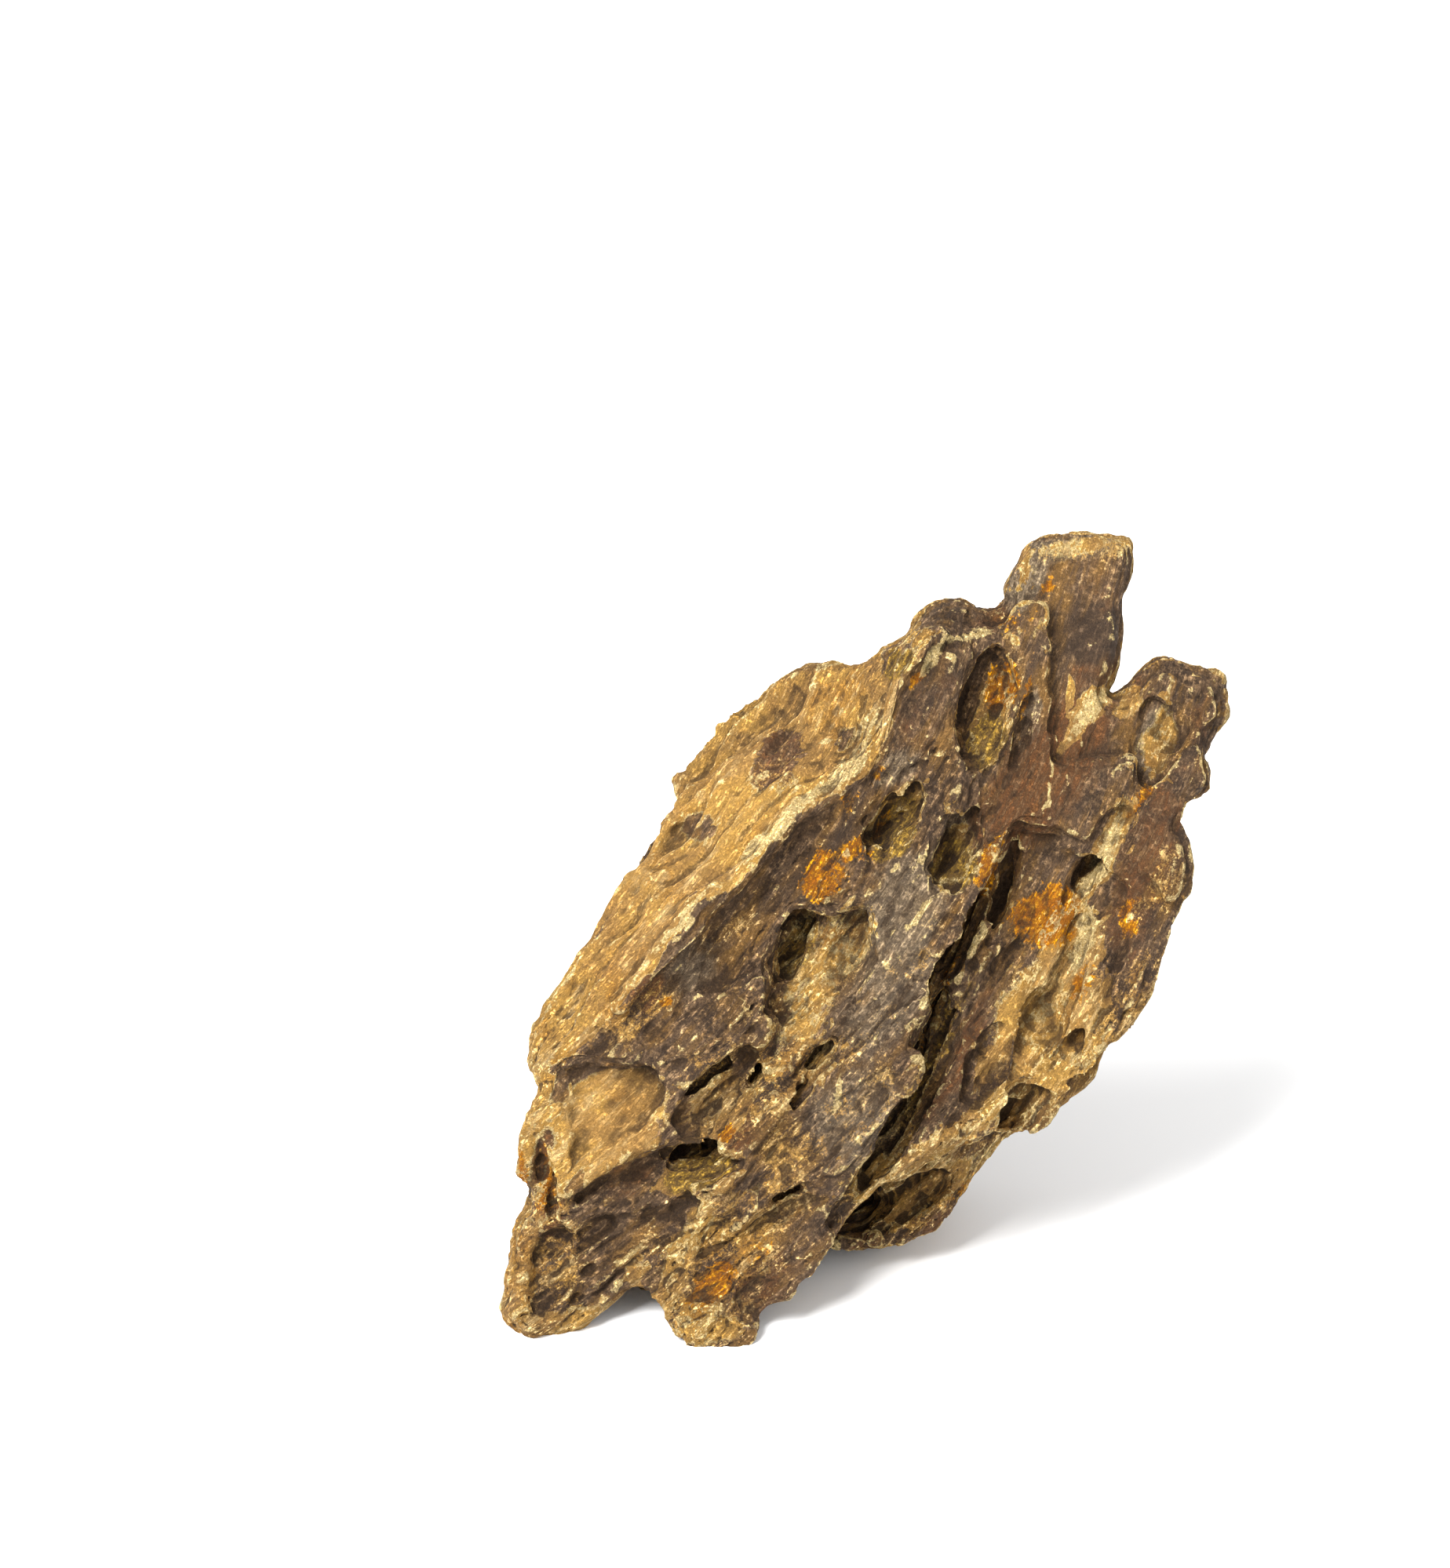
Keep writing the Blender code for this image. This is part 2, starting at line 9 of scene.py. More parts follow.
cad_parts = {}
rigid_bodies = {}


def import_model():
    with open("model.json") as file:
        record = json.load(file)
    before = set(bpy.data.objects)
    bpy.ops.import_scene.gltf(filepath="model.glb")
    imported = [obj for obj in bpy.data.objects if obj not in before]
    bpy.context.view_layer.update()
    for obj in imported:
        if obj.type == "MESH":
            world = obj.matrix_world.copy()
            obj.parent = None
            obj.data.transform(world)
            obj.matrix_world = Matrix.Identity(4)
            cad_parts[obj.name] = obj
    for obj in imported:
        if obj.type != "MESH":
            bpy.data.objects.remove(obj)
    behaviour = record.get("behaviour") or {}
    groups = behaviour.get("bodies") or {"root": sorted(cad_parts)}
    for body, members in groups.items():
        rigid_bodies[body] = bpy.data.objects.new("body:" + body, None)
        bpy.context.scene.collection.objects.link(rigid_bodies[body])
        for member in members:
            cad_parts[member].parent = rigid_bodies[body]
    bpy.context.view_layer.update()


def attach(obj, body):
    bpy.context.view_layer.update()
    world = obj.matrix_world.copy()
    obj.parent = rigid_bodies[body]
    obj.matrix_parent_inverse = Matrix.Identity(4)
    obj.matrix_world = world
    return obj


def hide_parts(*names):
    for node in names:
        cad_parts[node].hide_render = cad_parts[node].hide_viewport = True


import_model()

# The stone is built in its face frame, in millimetres: x to the right, z up along the face and
# y away from the viewer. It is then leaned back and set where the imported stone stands.

mm = 0.001

place = {
    "lean": 25.0,               # degrees the face leans back
    "sink": 1.0,                # mm of the foot that are cut off level
    "shift": (0.872, 54.850),   # mm from the face frame to the middle of the base
}

body = {
    "blockDepth": 40.0,
    "outline": [
        (-85, 1), (-92, 9), (-92, 17), (-89, 30), (-86, 36), (-86, 40), (-90, 45), (-88, 54),
        (-86, 61), (-84, 67), (-86, 72), (-85, 78), (-82, 84), (-74, 96), (-69, 104), (-65, 115),
        (-63, 122), (-58, 125), (-54, 132), (-51, 139), (-51, 146), (-48, 150), (-44, 150),
        (-38, 156), (-30, 163), (-24, 167), (-20, 172), (-12, 176), (-5, 178), (0, 176), (4, 179),
        (13, 184), (14, 188), (20, 192), (25, 193), (33, 190), (37, 192), (38, 199), (42, 207),
        (47, 210), (57, 212), (71, 209), (71, 201), (68, 192), (68, 183), (66, 174), (63, 169),
        (66, 167), (71, 171), (74, 175), (79, 178), (84, 175), (94, 174), (95, 163), (90, 157),
        (90, 150), (90, 144), (83, 141), (81, 135), (83, 124), (80, 111), (76, 102), (74, 91),
        (72, 86), (68, 80), (63, 73), (61, 68), (52, 60), (44, 53), (37, 49), (31, 38), (25, 32),
        (20, 26), (9, 23), (-7, 20), (-14, 14), (-24, 10), (-28, 4), (-32, 1), (-40, 1), (-48, 5),
        (-52, 11), (-59, 14), (-68, 7), (-76, 3)],
    "thinnest": 10.0,
    "edgeRound": 4.0,
    "backRound": 15.0,
    "backPlanes": [((0, 60), 86.0, 0.05, -0.18), ((0, 130), 62.0, 0.20, -0.48),
                   ((-60, 60), 60.0, 0.66, -0.10), ((60, 110), 56.0, -0.34, -0.32),
                   ((40, 190), 36.0, 0.02, -0.22)],
    "underHollow": ((-22, 40), (34, 19, 7)),
    "firstGrain": 1.2,          # voxel sizes, mm
    "fineGrain": 0.9,
    "lastGrain": 0.78,
    "smoothing": (0.5, 2),      # factor and passes, once the pits are cut
    "triangles": 196000,
    "sharpFrom": 38.0,          # degrees between faces that meet in a sharp edge
}

face = {
    # the crest between the dark face and the pale side that falls away to the left
    "shoulder": [(-86, 0), (-88, 40), (-85, 62), (-75, 74), (-62, 88), (-50, 103), (-43, 113),
                 (-32, 120), (-18, 136), (-6, 143), (3, 150), (7, 157), (8, 169), (13, 177),
                 (18, 184), (24, 200)],
    "sideSlope": 0.85, "shoulderWidth": 3.0,
    "rightFall": (24.0, 0.10), "topFall": (110.0, 0.05),
    # where a layer ends: line, drop on its right, width of the step
    "steps": [([(-8, 36), (-1, 47), (5, 56), (11, 64), (15, 71), (16, 76), (11, 77), (14, 83),
                (17, 90), (19, 99), (24, 107), (29, 115), (33, 125), (38, 133)], 7.0, 0.9),
              ([(-76, 41), (-64, 48), (-56, 52), (-50, 51), (-44, 50)], 2.5, 0.8),
              ([(-32, 31), (-22, 38), (-14, 42), (-5, 39)], 3.0, 0.8),
              ([(50, 152), (48, 172), (47, 193), (33, 190), (27, 230)], 4.0, 0.8),
              ([(36, 58), (42, 76), (48, 92), (57, 118)], 2.2, 0.9)],
    "stepEnd": 7.0, "stepReach": 30.0, "stepReturn": 20.0,
    "ledge": ([(-30, -6), (-10, 24), (2, 38), (16, 48), (34, 55), (60, 52)], 20.0, 1.6),
    # raised lines: line, height, half width
    "crests": [([(-62, 88), (-50, 103), (-43, 113), (-32, 120), (-18, 136), (-6, 143), (6, 156),
                 (8, 169), (18, 184)], 4.2, 2.4),
               ([(-79, 70), (-72, 75), (-64, 77), (-54, 77), (-50, 71)], 2.2, 2.4),
               ([(-40, 44), (-44, 30), (-50, 14)], 3.2, 5.5),
               ([(40, 106), (28, 95), (20, 82), (17, 70)], 3.0, 2.0),
               ([(54, 96), (50, 82), (47, 66)], 1.6, 2.2),
               ([(0, 160), (-30, 138), (-52, 112), (-68, 92)], 1.8, 3.4),
               ([(-14, 166), (-36, 150), (-46, 138)], 1.6, 3.4),
               ([(2, 43), (10, 50), (19, 55), (32, 60), (44, 70), (56, 84), (64, 96)], 2.4, 2.2)],
    # where a layer is missing: its rim, a point, the depth there and its change along x and z
    "recesses": [([(-96, 38), (-81, 37), (-74, 29), (-67, 33), (-52, 36), (-43, 42), (-41, 38),
                   (-46, 24), (-51, 8), (-70, -8), (-98, -8)], (-60, 30), 3.0, 0.0, 0.0),
                 ([(-76, 73), (-64, 74), (-51, 73), (-50, 66), (-54, 60), (-57, 55), (-64, 52),
                   (-71, 47), (-76, 42), (-75, 56), (-77, 65)], (-58, 70), 4.0, 0.02, 0.06),
                 ([(-25, 97), (-22, 109), (-16, 114), (-11, 114), (-9, 112), (0, 114), (2, 112),
                   (3, 99), (-1, 93), (-2, 83), (-6, 78), (-16, 65), (-22, 69), (-28, 67),
                   (-27, 73), (-24, 80), (-22, 85), (-27, 87)], (-14, 110), 8.5, -0.12, 0.21),
                 ([(-51, 60), (-47, 64), (-44, 70), (-41, 74), (-35, 78), (-30, 80), (-26, 77),
                   (-26, 70), (-30, 62), (-38, 56), (-45, 54)], (-40, 73), 6.0, -0.12, 0.22),
                 ([(14, 186), (17, 183), (24, 184), (33, 182), (38, 184), (39, 194), (25, 198),
                   (11, 194)], (24, 184), 0.8, 0.0, 0.9)],
    "recessWidth": 0.8,
    # hollows: centre, length, width, depth, tilt
    "wallShare": 0.35,
    "scoops": [((-16, 96), 30, 12, 3.0, 72), ((-5, 100), 24, 8, 2.5, 70),
               ((60, 125), 34, 8, 4.5, 61), ((32, 165), 35, 12, 7.5, 74),
               ((76, 155), 24, 9, 3.5, 83), ((-22, 141), 40, 6, 3.0, 47),
               ((-50, 113), 34, 5, 2.4, 52),
               ((-60, 45), 34, 10, 2.0, 25), ((-36, 64), 20, 8, 2.0, 40),
               ((-80, 20), 24, 10, 5.0, 78), ((-18, 36), 32, 9, 4.0, 30),
               ((-14, 74), 18, 5, 4.0, 45), ((42, 60), 14, 7, 3.5, 40),
               ((-18, 155), 18, 9, 3.0, 50), ((-5, 157), 10, 7, 2.5, 60),
               ((24, 88), 28, 7, 3.0, 62), ((52, 92), 30, 8, 2.5, 68),
               ((-34, 112), 36, 9, 2.5, 42), ((14, 36), 26, 8, 4.5, 35),
               ((-46, 130), 26, 10, 3.0, 52), ((-62, 108), 24, 8, 2.5, 58),
               ((-74, 88), 22, 7, 2.0, 56), ((66, 98), 24, 7, 2.5, 66),
               ((32, 72), 24, 7, 2.5, 60), ((-82, 48), 16, 5, 2.5, 95),
               ((-28, 14), 20, 9, 2.5, 60),
               ((24, 182), 14, 6, 2.0, 40)],
    "jag": [(7.0, 1.3, 3.0), (2.6, 0.7, 9.0)],   # how the lines wander: size, reach, shift
}

pits = {
    # centre, length, width, depth, tilt, undercut to the left, dip of the upper end
    "front": [((-17, 105), 24, 10, 6.5, 62, 30, 14), ((8, 134), 24, 11, 9, 56, 24, 20),
              ((23, 128), 24, 13, 7, 58, 14, 16), ((37, 120), 26, 8, 6, 70, 10, 10),
              ((25, 107), 54, 8, 11, 65, 24, 4), ((14, 68), 62, 10, 17, 62, 20, 3),
              ((-41, 48), 18, 8, 15, 18, 26, 10), ((-79, 40), 20, 4, 5, 86, 0, 0),
              ((0, 32), 18, 9, 15, 34, 10, 0), ((-27, 70), 9, 4, 8, 60, 10, 0),
              ((-11, 75), 15, 4, 8, 48, 20, 6), ((-16, 66), 11, 4, 5, 50, 20, 6),
              ((-41, 72), 20, 5, 8, 40, 34, 0), ((60, 125), 24, 5, 5, 61, 20, 6),
              ((42, 159), 26, 4.5, 6, 80, 16, 0), ((40, 60), 15, 6, 5, 42, 16, 0),
              ((-19, 40), 13, 3, 7, 30, 20, 0), ((55, 78), 12, 5, 4, 70, 16, 0)],
    "back": [((-8, 118), 40, 12, 14, 68, 24, 8), ((30, 92), 36, 10, 14, 60, 20, 6),
             ((40, 150), 26, 9, 9, 74, 16, 6), ((-40, 76), 28, 10, 12, 56, 18, 6),
             ((-14, 70), 22, 9, 11, 60, 18, 4), ((4, 152), 18, 8, 9, 66, 16, 4),
             ((56, 116), 20, 8, 9, 64, 18, 4), ((-56, 100), 16, 8, 9, 58, 12, 4),
             ((2, 46), 20, 9, 10, 50, 14, 4)],
    # on the rim: centre, depth of the centre, then as above
    "side": [((82, 112), 34, 32, 16, 9, 66, 0, 8), ((72, 84), 24, 22, 13, 7, 62, 0, 4),
             ((58, 60), 44, 26, 14, 9, 50, 0, 0), ((90, 150), 24, 18, 11, 6, 85, 0, 0),
             ((-80, 92), 46, 36, 16, 9, 56, 0, 6), ((-60, 124), 48, 24, 14, 8, 58, 0, 0),
             ((-92, 26), 34, 20, 14, 8, 80, 0, 0), ((70, 188), 24, 22, 9, 5, 85, 0, 0),
             ((30, 34), 46, 18, 10, 8, 40, 0, 0)],
    "uneven": 0.44, "lumps": 1.7, "vary": 0.37,
    "ragged": (6.0, 0.10),      # smaller lumps across a pit, and their share of its size
}

back = {
    "scoops": 60, "seed": 12, "across": (-88, 86), "up": (22, 205),
    "length": (16, 46), "width": (7, 15), "depth": (5.0, 11.0), "tilt": (50, 78),
    "steps": [([(-70, 40), (-52, 62), (-36, 92), (-22, 120), (-16, 150)], -7.0, 1.6),
              ([(6, 30), (22, 58), (30, 92), (44, 118), (50, 150)], -8.0, 1.6)],
}

bedding = {
    "centre": (-287, 301), "radius": 350.0,
    # length, width, height of a step, levels, shift
    "terraces": [(58.0, 15.0, 1.7, 3.2, 4.0), (26.0, 7.5, 0.9, 2.8, 31.0)],
    "riser": 0.14, "depth": 60.0,
    "lumps": [(40.0, 1.8, 8.0), (15.0, 1.1, 52.0)],
    "layers": (75.0, 11.0, 17.0, 5.0, 0.2, 8.0),   # reach, thickness, shift, cut, edge, start
    "rimCalm": 0.6,
    "whole": [((57, 190), 64, 46, 88, 0.9), ((-9, 90), 50, 34, 62, 0.95),
              ((-62, 60), 30, 26, 40, 0.7)],   # places left whole
}

flakes = {
    "warp": (11.0, 2.2, 71.0),
    # length, width, depth, height of a step, levels, riser, shift
    "sheets": [(34.0, 10.0, 18.0, 0.9, 3.0, 0.10, 12.0), (13.0, 4.4, 8.0, 0.36, 3.0, 0.14, 45.0)],
    # smooth places of the face: centre, length, width, tilt, share that is taken off
    "calm": [((-42, 130), 116, 44, 47, 0.82), ((-65, 60), 36, 28, 40, 0.92),
             ((54, 140), 70, 44, 60, 0.6), ((57, 184), 62, 34, 88, 0.85),
             ((14, 168), 30, 20, 65, 0.6), ((10, 108), 36, 20, 62, 0.6),
             ((-50, 88), 40, 16, 42, 0.5), ((72, 115), 50, 16, 72, 0.7),
             ((48, 88), 52, 26, 64, 0.72), ((-12, 52), 54, 26, 48, 0.4),
             ((77, 158), 38, 26, 84, 0.7), ((-12, 92), 34, 14, 66, 0.5)],
    "calmReach": (40.0, 10.0),           # mm behind the front where they end, and their fade
    "sideShare": 0.5,                    # share that is taken off on the rim
    # on the rim: reach, thickness, height of a step, levels, riser, shift
    "laminae": (46.0, 2.6, 0.7, 3.0, 0.3, 23.0),
    "grooves": (26.0, 1.7, 5.0, 0.42, 5.0),   # length, width, depth, height, shift
    "pocks": (8.5, 5.5, 2.0, 1.5, 0.36),   # cell along, cell across, radius, depth, share
    "pockShape": (0.55, 0.4, 2.2),         # stretch, size of the smallest, steepness
    "rough": (2.6, 0.25, 63.0),
}


def say(text):
    print("scene:", text, flush=True)


def smoothStep(value):
    clipped = np.clip(value, 0.0, 1.0)
    return clipped * clipped * (3.0 - 2.0 * clipped)


def lineDistance(x, z, line, closed=False):
    # distance to a line of several runs, and its side: above 0 is to the left
    points = list(line) + ([line[0]] if closed else [])
    nearest = np.full(x.shape, np.inf)
    side = np.zeros(x.shape)
    for (ax, az), (bx, bz) in zip(points, points[1:]):
        runX, runZ = bx - ax, bz - az
        along = np.clip(((x - ax) * runX + (z - az) * runZ) / (runX**2 + runZ**2), 0.0, 1.0)
        away = np.hypot(x - ax - along * runX, z - az - along * runZ)
        # where two runs meet, the one that is seen more squarely gives the side
        square = (runX * (z - az) - runZ * (x - ax)) / math.hypot(runX, runZ)
        level = np.abs(away - nearest) < 1e-6
        closer = np.where(level, np.abs(square) > np.abs(side), away < nearest)
        side = np.where(closer, square, side)
        nearest = np.minimum(away, nearest)
    return nearest, np.sign(side)


def insideShare(x, z, rim, width):
    away, _ = lineDistance(x, z, rim, closed=True)
    crossings = np.zeros(x.shape, int)
    for (ax, az), (bx, bz) in zip(rim, rim[1:] + rim[:1]):
        spans = (az > z) != (bz > z)
        at = ax + (z - az) * (bx - ax) / (bz - az if bz != az else 1.0)
        crossings += spans & (x < at)
    return smoothStep(0.5 + np.where(crossings % 2 == 1, away, -away) / width)


def scoopDepth(x, z, centre, length, width, depth, tilt):
    angle = math.radians(tilt)
    offX, offZ = x - centre[0], z - centre[1]
    along = (offX * math.cos(angle) + offZ * math.sin(angle)) / (length / 2)
    across = (offX * math.sin(angle) - offZ * math.cos(angle)) / (width / 2)
    inside = np.clip(1.0 - along**2 - across**2, 0.0, None)
    return depth * np.sqrt(inside) * (1.0 - face["wallShare"] * across)


def stepDepth(x, z, line, drop, width):
    away, side = lineDistance(x, z, line)
    start, end = np.array(line[0], float), np.array(line[-1], float)
    length = np.hypot(*(end - start))
    run = (end - start) / length
    along = (x - start[0]) * run[0] + (z - start[1]) * run[1]
    fade = 1.0 - smoothStep(np.maximum(-along, along - length) / face["stepEnd"])
    reach = 1.0 - smoothStep((away - face["stepReach"]) / face["stepReturn"])
    return drop * fade * reach * smoothStep(0.5 - away * side / width)


def noiseAt(columns, shift):
    moved = np.stack(columns, 1) + (shift, -shift, 2 * shift)
    return np.array([noise.noise(point) for point in moved.tolist()])


def beddingAt(x, z):
    across = np.hypot(x - bedding["centre"][0], z - bedding["centre"][1])
    along = bedding["radius"] * np.arctan2(z - bedding["centre"][1], x - bedding["centre"][0])
    return along, across


def jagged(x, z):
    # the same place, moved a little, so that traced lines come out broken
    for size, reach, shift in face["jag"]:
        x = x + reach * noiseAt((x / size, z / size, 0 * x), shift)
        z = z + reach * noiseAt((x / size, z / size, 0 * x), shift + 20.0)
    return x, z


def frontDepth(x, z):
    away, side = lineDistance(x, z, face["shoulder"])
    onSide = np.clip(away * side, 0.0, None)
    width = face["shoulderWidth"]
    slide = np.where(onSide > width, onSide - width / 2, onSide**2 / (2 * width))
    depth = face["sideSlope"] * slide
    for (start, slope), values in ((face["rightFall"], x), (face["topFall"], z)):
        depth += slope * np.clip(values - start, 0.0, None)
    for line, drop, width in face["steps"]:
        depth += stepDepth(x, z, line, drop, width)
    line, drop, width = face["ledge"]
    away, side = lineDistance(x, z, line)
    depth += drop * smoothStep(0.5 - away * side / width)
    for rim, (atX, atZ), drop, alongX, alongZ in face["recesses"]:
        sunk = np.clip(drop + alongX * (x - atX) + alongZ * (z - atZ), 0.0, None)
        depth += sunk * insideShare(x, z, rim, face["recessWidth"])
    for line, height, halfWidth in face["crests"]:
        away, _ = lineDistance(x, z, line)
        depth -= height * np.exp(-((away / halfWidth) ** 2))
    for scoop in face["scoops"]:
        depth += scoopDepth(x, z, *scoop)
    return depth


def backDepth(x, z):
    planes = [depth + alongX * (x - px) + alongZ * (z - pz)
              for (px, pz), depth, alongX, alongZ in body["backPlanes"]]
    depth = np.min(planes, axis=0)
    draw = random.Random(back["seed"])
    hollow = np.zeros(x.shape)
    for _ in range(back["scoops"]):
        centre = (draw.uniform(*back["across"]), draw.uniform(*back["up"]))
        sizes = [draw.uniform(*back[what]) for what in ("length", "width", "depth", "tilt")]
        hollow = np.maximum(hollow, scoopDepth(x, z, centre, *sizes))
    for line, drop, width in back["steps"]:
        depth += stepDepth(x, z, line, drop, width)
    return depth - hollow


def edgeShrink(inset, radius):
    rest = np.clip(1.0 - inset / radius, 0.0, 1.0)
    return radius * (1.0 - np.sqrt(1.0 - rest**2))


def readPoints(mesh, what="co"):
    points = np.empty(len(mesh.vertices) * 3, np.float32)
    mesh.vertices.foreach_get(what, points)
    return points.reshape(-1, 3).astype(float)


def writePoints(mesh, points):
    mesh.vertices.foreach_set("co", points.astype(np.float32).ravel())
    mesh.update()


def pick(thing):
    # this one is active, and nothing else is selected
    for other in bpy.context.selected_objects:
        other.select_set(False)
    thing.select_set(True)
    bpy.context.view_layer.objects.active = thing


def applyModifier(thing, kind, **settings):
    pick(thing)
    added = thing.modifiers.new(kind.title(), kind)
    for name, value in settings.items():
        setattr(added, name, value)
    bpy.ops.object.modifier_apply(modifier=added.name)


def remesh(thing, grain):
    applyModifier(thing, "REMESH", mode="VOXEL", voxel_size=grain * mm)


def outlineBlock():
    curve = bpy.data.curves.new("stoneOutline", "CURVE")
    curve.dimensions = "2D"
    curve.fill_mode = "BOTH"
    curve.extrude = body["blockDepth"] / 2 * mm
    spline = curve.splines.new("POLY")
    spline.points.add(len(body["outline"]) - 1)
    for point, (x, z) in zip(spline.points, body["outline"]):
        point.co = (x * mm, z * mm, 0.0, 1.0)
    spline.use_cyclic_u = True
    flat = bpy.data.objects.new("stoneOutline", curve)
    bpy.context.collection.objects.link(flat)
    pick(flat)
    bpy.ops.object.convert(target="MESH")
    flat.name = "dragonStone"
    upright = Matrix.Rotation(math.pi / 2, 4, "X")
    flat.data.transform(Matrix.Translation((0, body["blockDepth"] / 2 * mm, 0)) @ upright)
    return flat


def shapeBlock(stone):
    points = readPoints(stone.data) / mm
    x, y, z = points.T
    inset, _ = lineDistance(x, z, body["outline"], closed=True)
    front = frontDepth(*jagged(x, z)) + edgeShrink(inset, body["edgeRound"])
    rear = backDepth(x, z) - edgeShrink(inset, body["backRound"])
    rear = np.maximum(rear, front + body["thinnest"])
    points[:, 1] = front + (rear - front) * np.clip(y / body["blockDepth"], 0.0, 1.0)
    writePoints(stone.data, points * mm)


def terraceHeight(level, riser):
    tread = np.floor(level)
    return tread + smoothStep((level - tread - 0.5) / riser + 0.5)


def terraceDepth(x, y, z):
    along, across = beddingAt(x, z)
    depth = np.zeros(x.shape)
    for length, width, height, levels, shift in bedding["terraces"]:
        level = levels * noiseAt((along / length, across / width, y / bedding["depth"]), shift)
        depth += height * terraceHeight(level, bedding["riser"])
    return depth


def layBedding(stone):
    # broad terraces along the bedding, lumps, and layers on the rim
    points, normals = readPoints(stone.data) / mm, readPoints(stone.data, "normal")
    x, y, z = points.T
    push = -terraceDepth(x, y, z)
    whole = zoneShare(x, z, bedding["whole"])
    push *= 1.0 - whole
    for size, height, shift in bedding["lumps"]:
        push += height * noiseAt((x / size, y / size, z / size), shift)
    sideways = np.hypot(normals[:, 0], normals[:, 2])
    push *= 1.0 - bedding["rimCalm"] * sideways
    reach, thickness, shift, cut, edge, start = bedding["layers"]
    layer = noiseAt((x / reach, y / thickness, z / reach), shift)
    behind = smoothStep(y / start - 0.5)
    push -= cut * sideways * behind * (1.0 - whole) * smoothStep(0.5 + layer / edge)
    writePoints(stone.data, (points + normals * push[:, None]) * mm)


def pitCutter(group, name, centre, depthAt, length, width, depth, tilt, undercut, dip):
    bpy.ops.mesh.primitive_uv_sphere_add(segments=48, ring_count=30, radius=1.0)
    cutter = bpy.context.object
    cutter.name = name
    moveInto(group, cutter)
    size, share = pits["ragged"]
    seed = Vector((centre[0], centre[1], 0.0)) * pits["vary"]
    for vertex in cutter.data.vertices:
        uneven = noise.noise(vertex.co * pits["lumps"] + seed)
        ragged = noise.noise(vertex.co * size + seed)
        vertex.co *= 1.0 + pits["uneven"] * uneven + share * ragged
    stretch = Matrix.Diagonal((length / 2 * mm, depth * mm, width / 2 * mm, 1.0))
    noseDown = Matrix.Rotation(math.radians(dip), 4, "Z")
    lean = Matrix.Rotation(math.radians(undercut), 4, "X")
    turn = Matrix.Rotation(-math.radians(tilt), 4, "Y")
    at = Matrix.Translation(Vector((centre[0], depthAt, centre[1])) * mm)
    cutter.data.transform(at @ turn @ lean @ noseDown @ stretch)


def cutWith(stone, group):
    applyModifier(stone, "BOOLEAN", operation="DIFFERENCE", operand_type="COLLECTION",
                  collection=group, solver="MANIFOLD")
    for cutter in list(group.objects):
        bpy.data.objects.remove(cutter, do_unlink=True)
    bpy.data.collections.remove(group)


def newGroup(name):
    group = bpy.data.collections.new(name)
    bpy.context.scene.collection.children.link(group)
    return group


def moveInto(group, thing):
    for owner in list(thing.users_collection):
        owner.objects.unlink(thing)
    group.objects.link(thing)


def carvePits(stone):
    group = newGroup("pitCutters")
    for side, depthOf in (("front", frontDepth), ("back", backDepth)):
        for (x, z), *sizes in pits[side]:
            depthAt = float(depthOf(np.array([x]), np.array([z]))[0])
            pitCutter(group, side + "Pit", (x, z), depthAt, *sizes)
    for (x, z), depthAt, *sizes in pits["side"]:
        pitCutter(group, "sidePit", (x, z), depthAt, *sizes)
    cutWith(stone, group)


def pockDepth(along, across, y):
    # small round holes in some of the cells of a stretched grid
    cellAlong, cellAcross, radius, depth, share = flakes["pocks"]
    stretch, smallest, steepness = flakes["pockShape"]
    total = np.zeros(along.shape)
    cells = np.stack((along / cellAlong, across / cellAcross, y / cellAlong), 1)
    home = np.floor(cells)
    for step in [(a, b, c) for a in (0, 1) for b in (0, 1) for c in (0, 1)]:
        corner = home + np.where(cells - home > 0.5, step, -np.array(step))
        draw = np.abs(np.sin(corner @ np.array([[12.9898, 39.425, 73.156, 27.61],
                                                [78.233, 11.135, 52.235, 91.27],
                                                [37.719, 83.155, 9.151, 45.73]])) * 43758.5453) % 1
        off = (cells - corner - 0.25 - 0.5 * draw[:, :3]) * (cellAlong, cellAcross, cellAlong)
        off[:, 0] *= stretch
        size = smallest + (1.0 - smallest) * draw[:, 3] / share
        away = np.linalg.norm(off, axis=1) / (radius * size)
        hole = depth * smoothStep((1.0 - away) * steepness) * (draw[:, 3] < share)
        total = np.maximum(total, hole)
    return total


def calmShare(x, y, z):
    end, fade = flakes["calmReach"]
    return zoneShare(x, z, flakes["calm"]) * smoothStep((end - y) / fade)


def breakFlakes(stone):
    # thin flakes, fine grooves along the bedding and small pocks, all pushed along the normals
    points, normals = readPoints(stone.data) / mm, readPoints(stone.data, "normal")
    x, y, z = points.T
    sideways = np.hypot(normals[:, 0], normals[:, 2])
    along, across = beddingAt(x, z)
    size, reach, shift = flakes["warp"]
    warped = across + reach * noiseAt((along / size, across / size, y / size), shift)
    push = np.zeros(x.shape)
    loose = 1.0 - calmShare(x, y, z)
    flat = 1.0 - flakes["sideShare"] * sideways
    for length, width, depth, height, levels, riser, shift in flakes["sheets"]:
        level = levels * noiseAt((along / length, warped / width, y / depth), shift)
        push -= height * loose * flat * terraceHeight(level, riser)
    reach, thickness, height, levels, riser, shift = flakes["laminae"]
    level = levels * noiseAt((along / reach, warped / reach, y / thickness), shift)
    push -= height * sideways * terraceHeight(level, riser)
    length, width, depth, height, shift = flakes["grooves"]
    ridged = 1.0 - 2.0 * np.abs(noiseAt((along / length, warped / width, y / depth), shift))
    push -= height * loose * ridged**3
    push -= loose**2 * pockDepth(along, warped, y)
    size, height, shift = flakes["rough"]
    push += height * noiseAt((x / size, y / size, z / size), shift)
    writePoints(stone.data, (points + normals * push[:, None]) * mm)


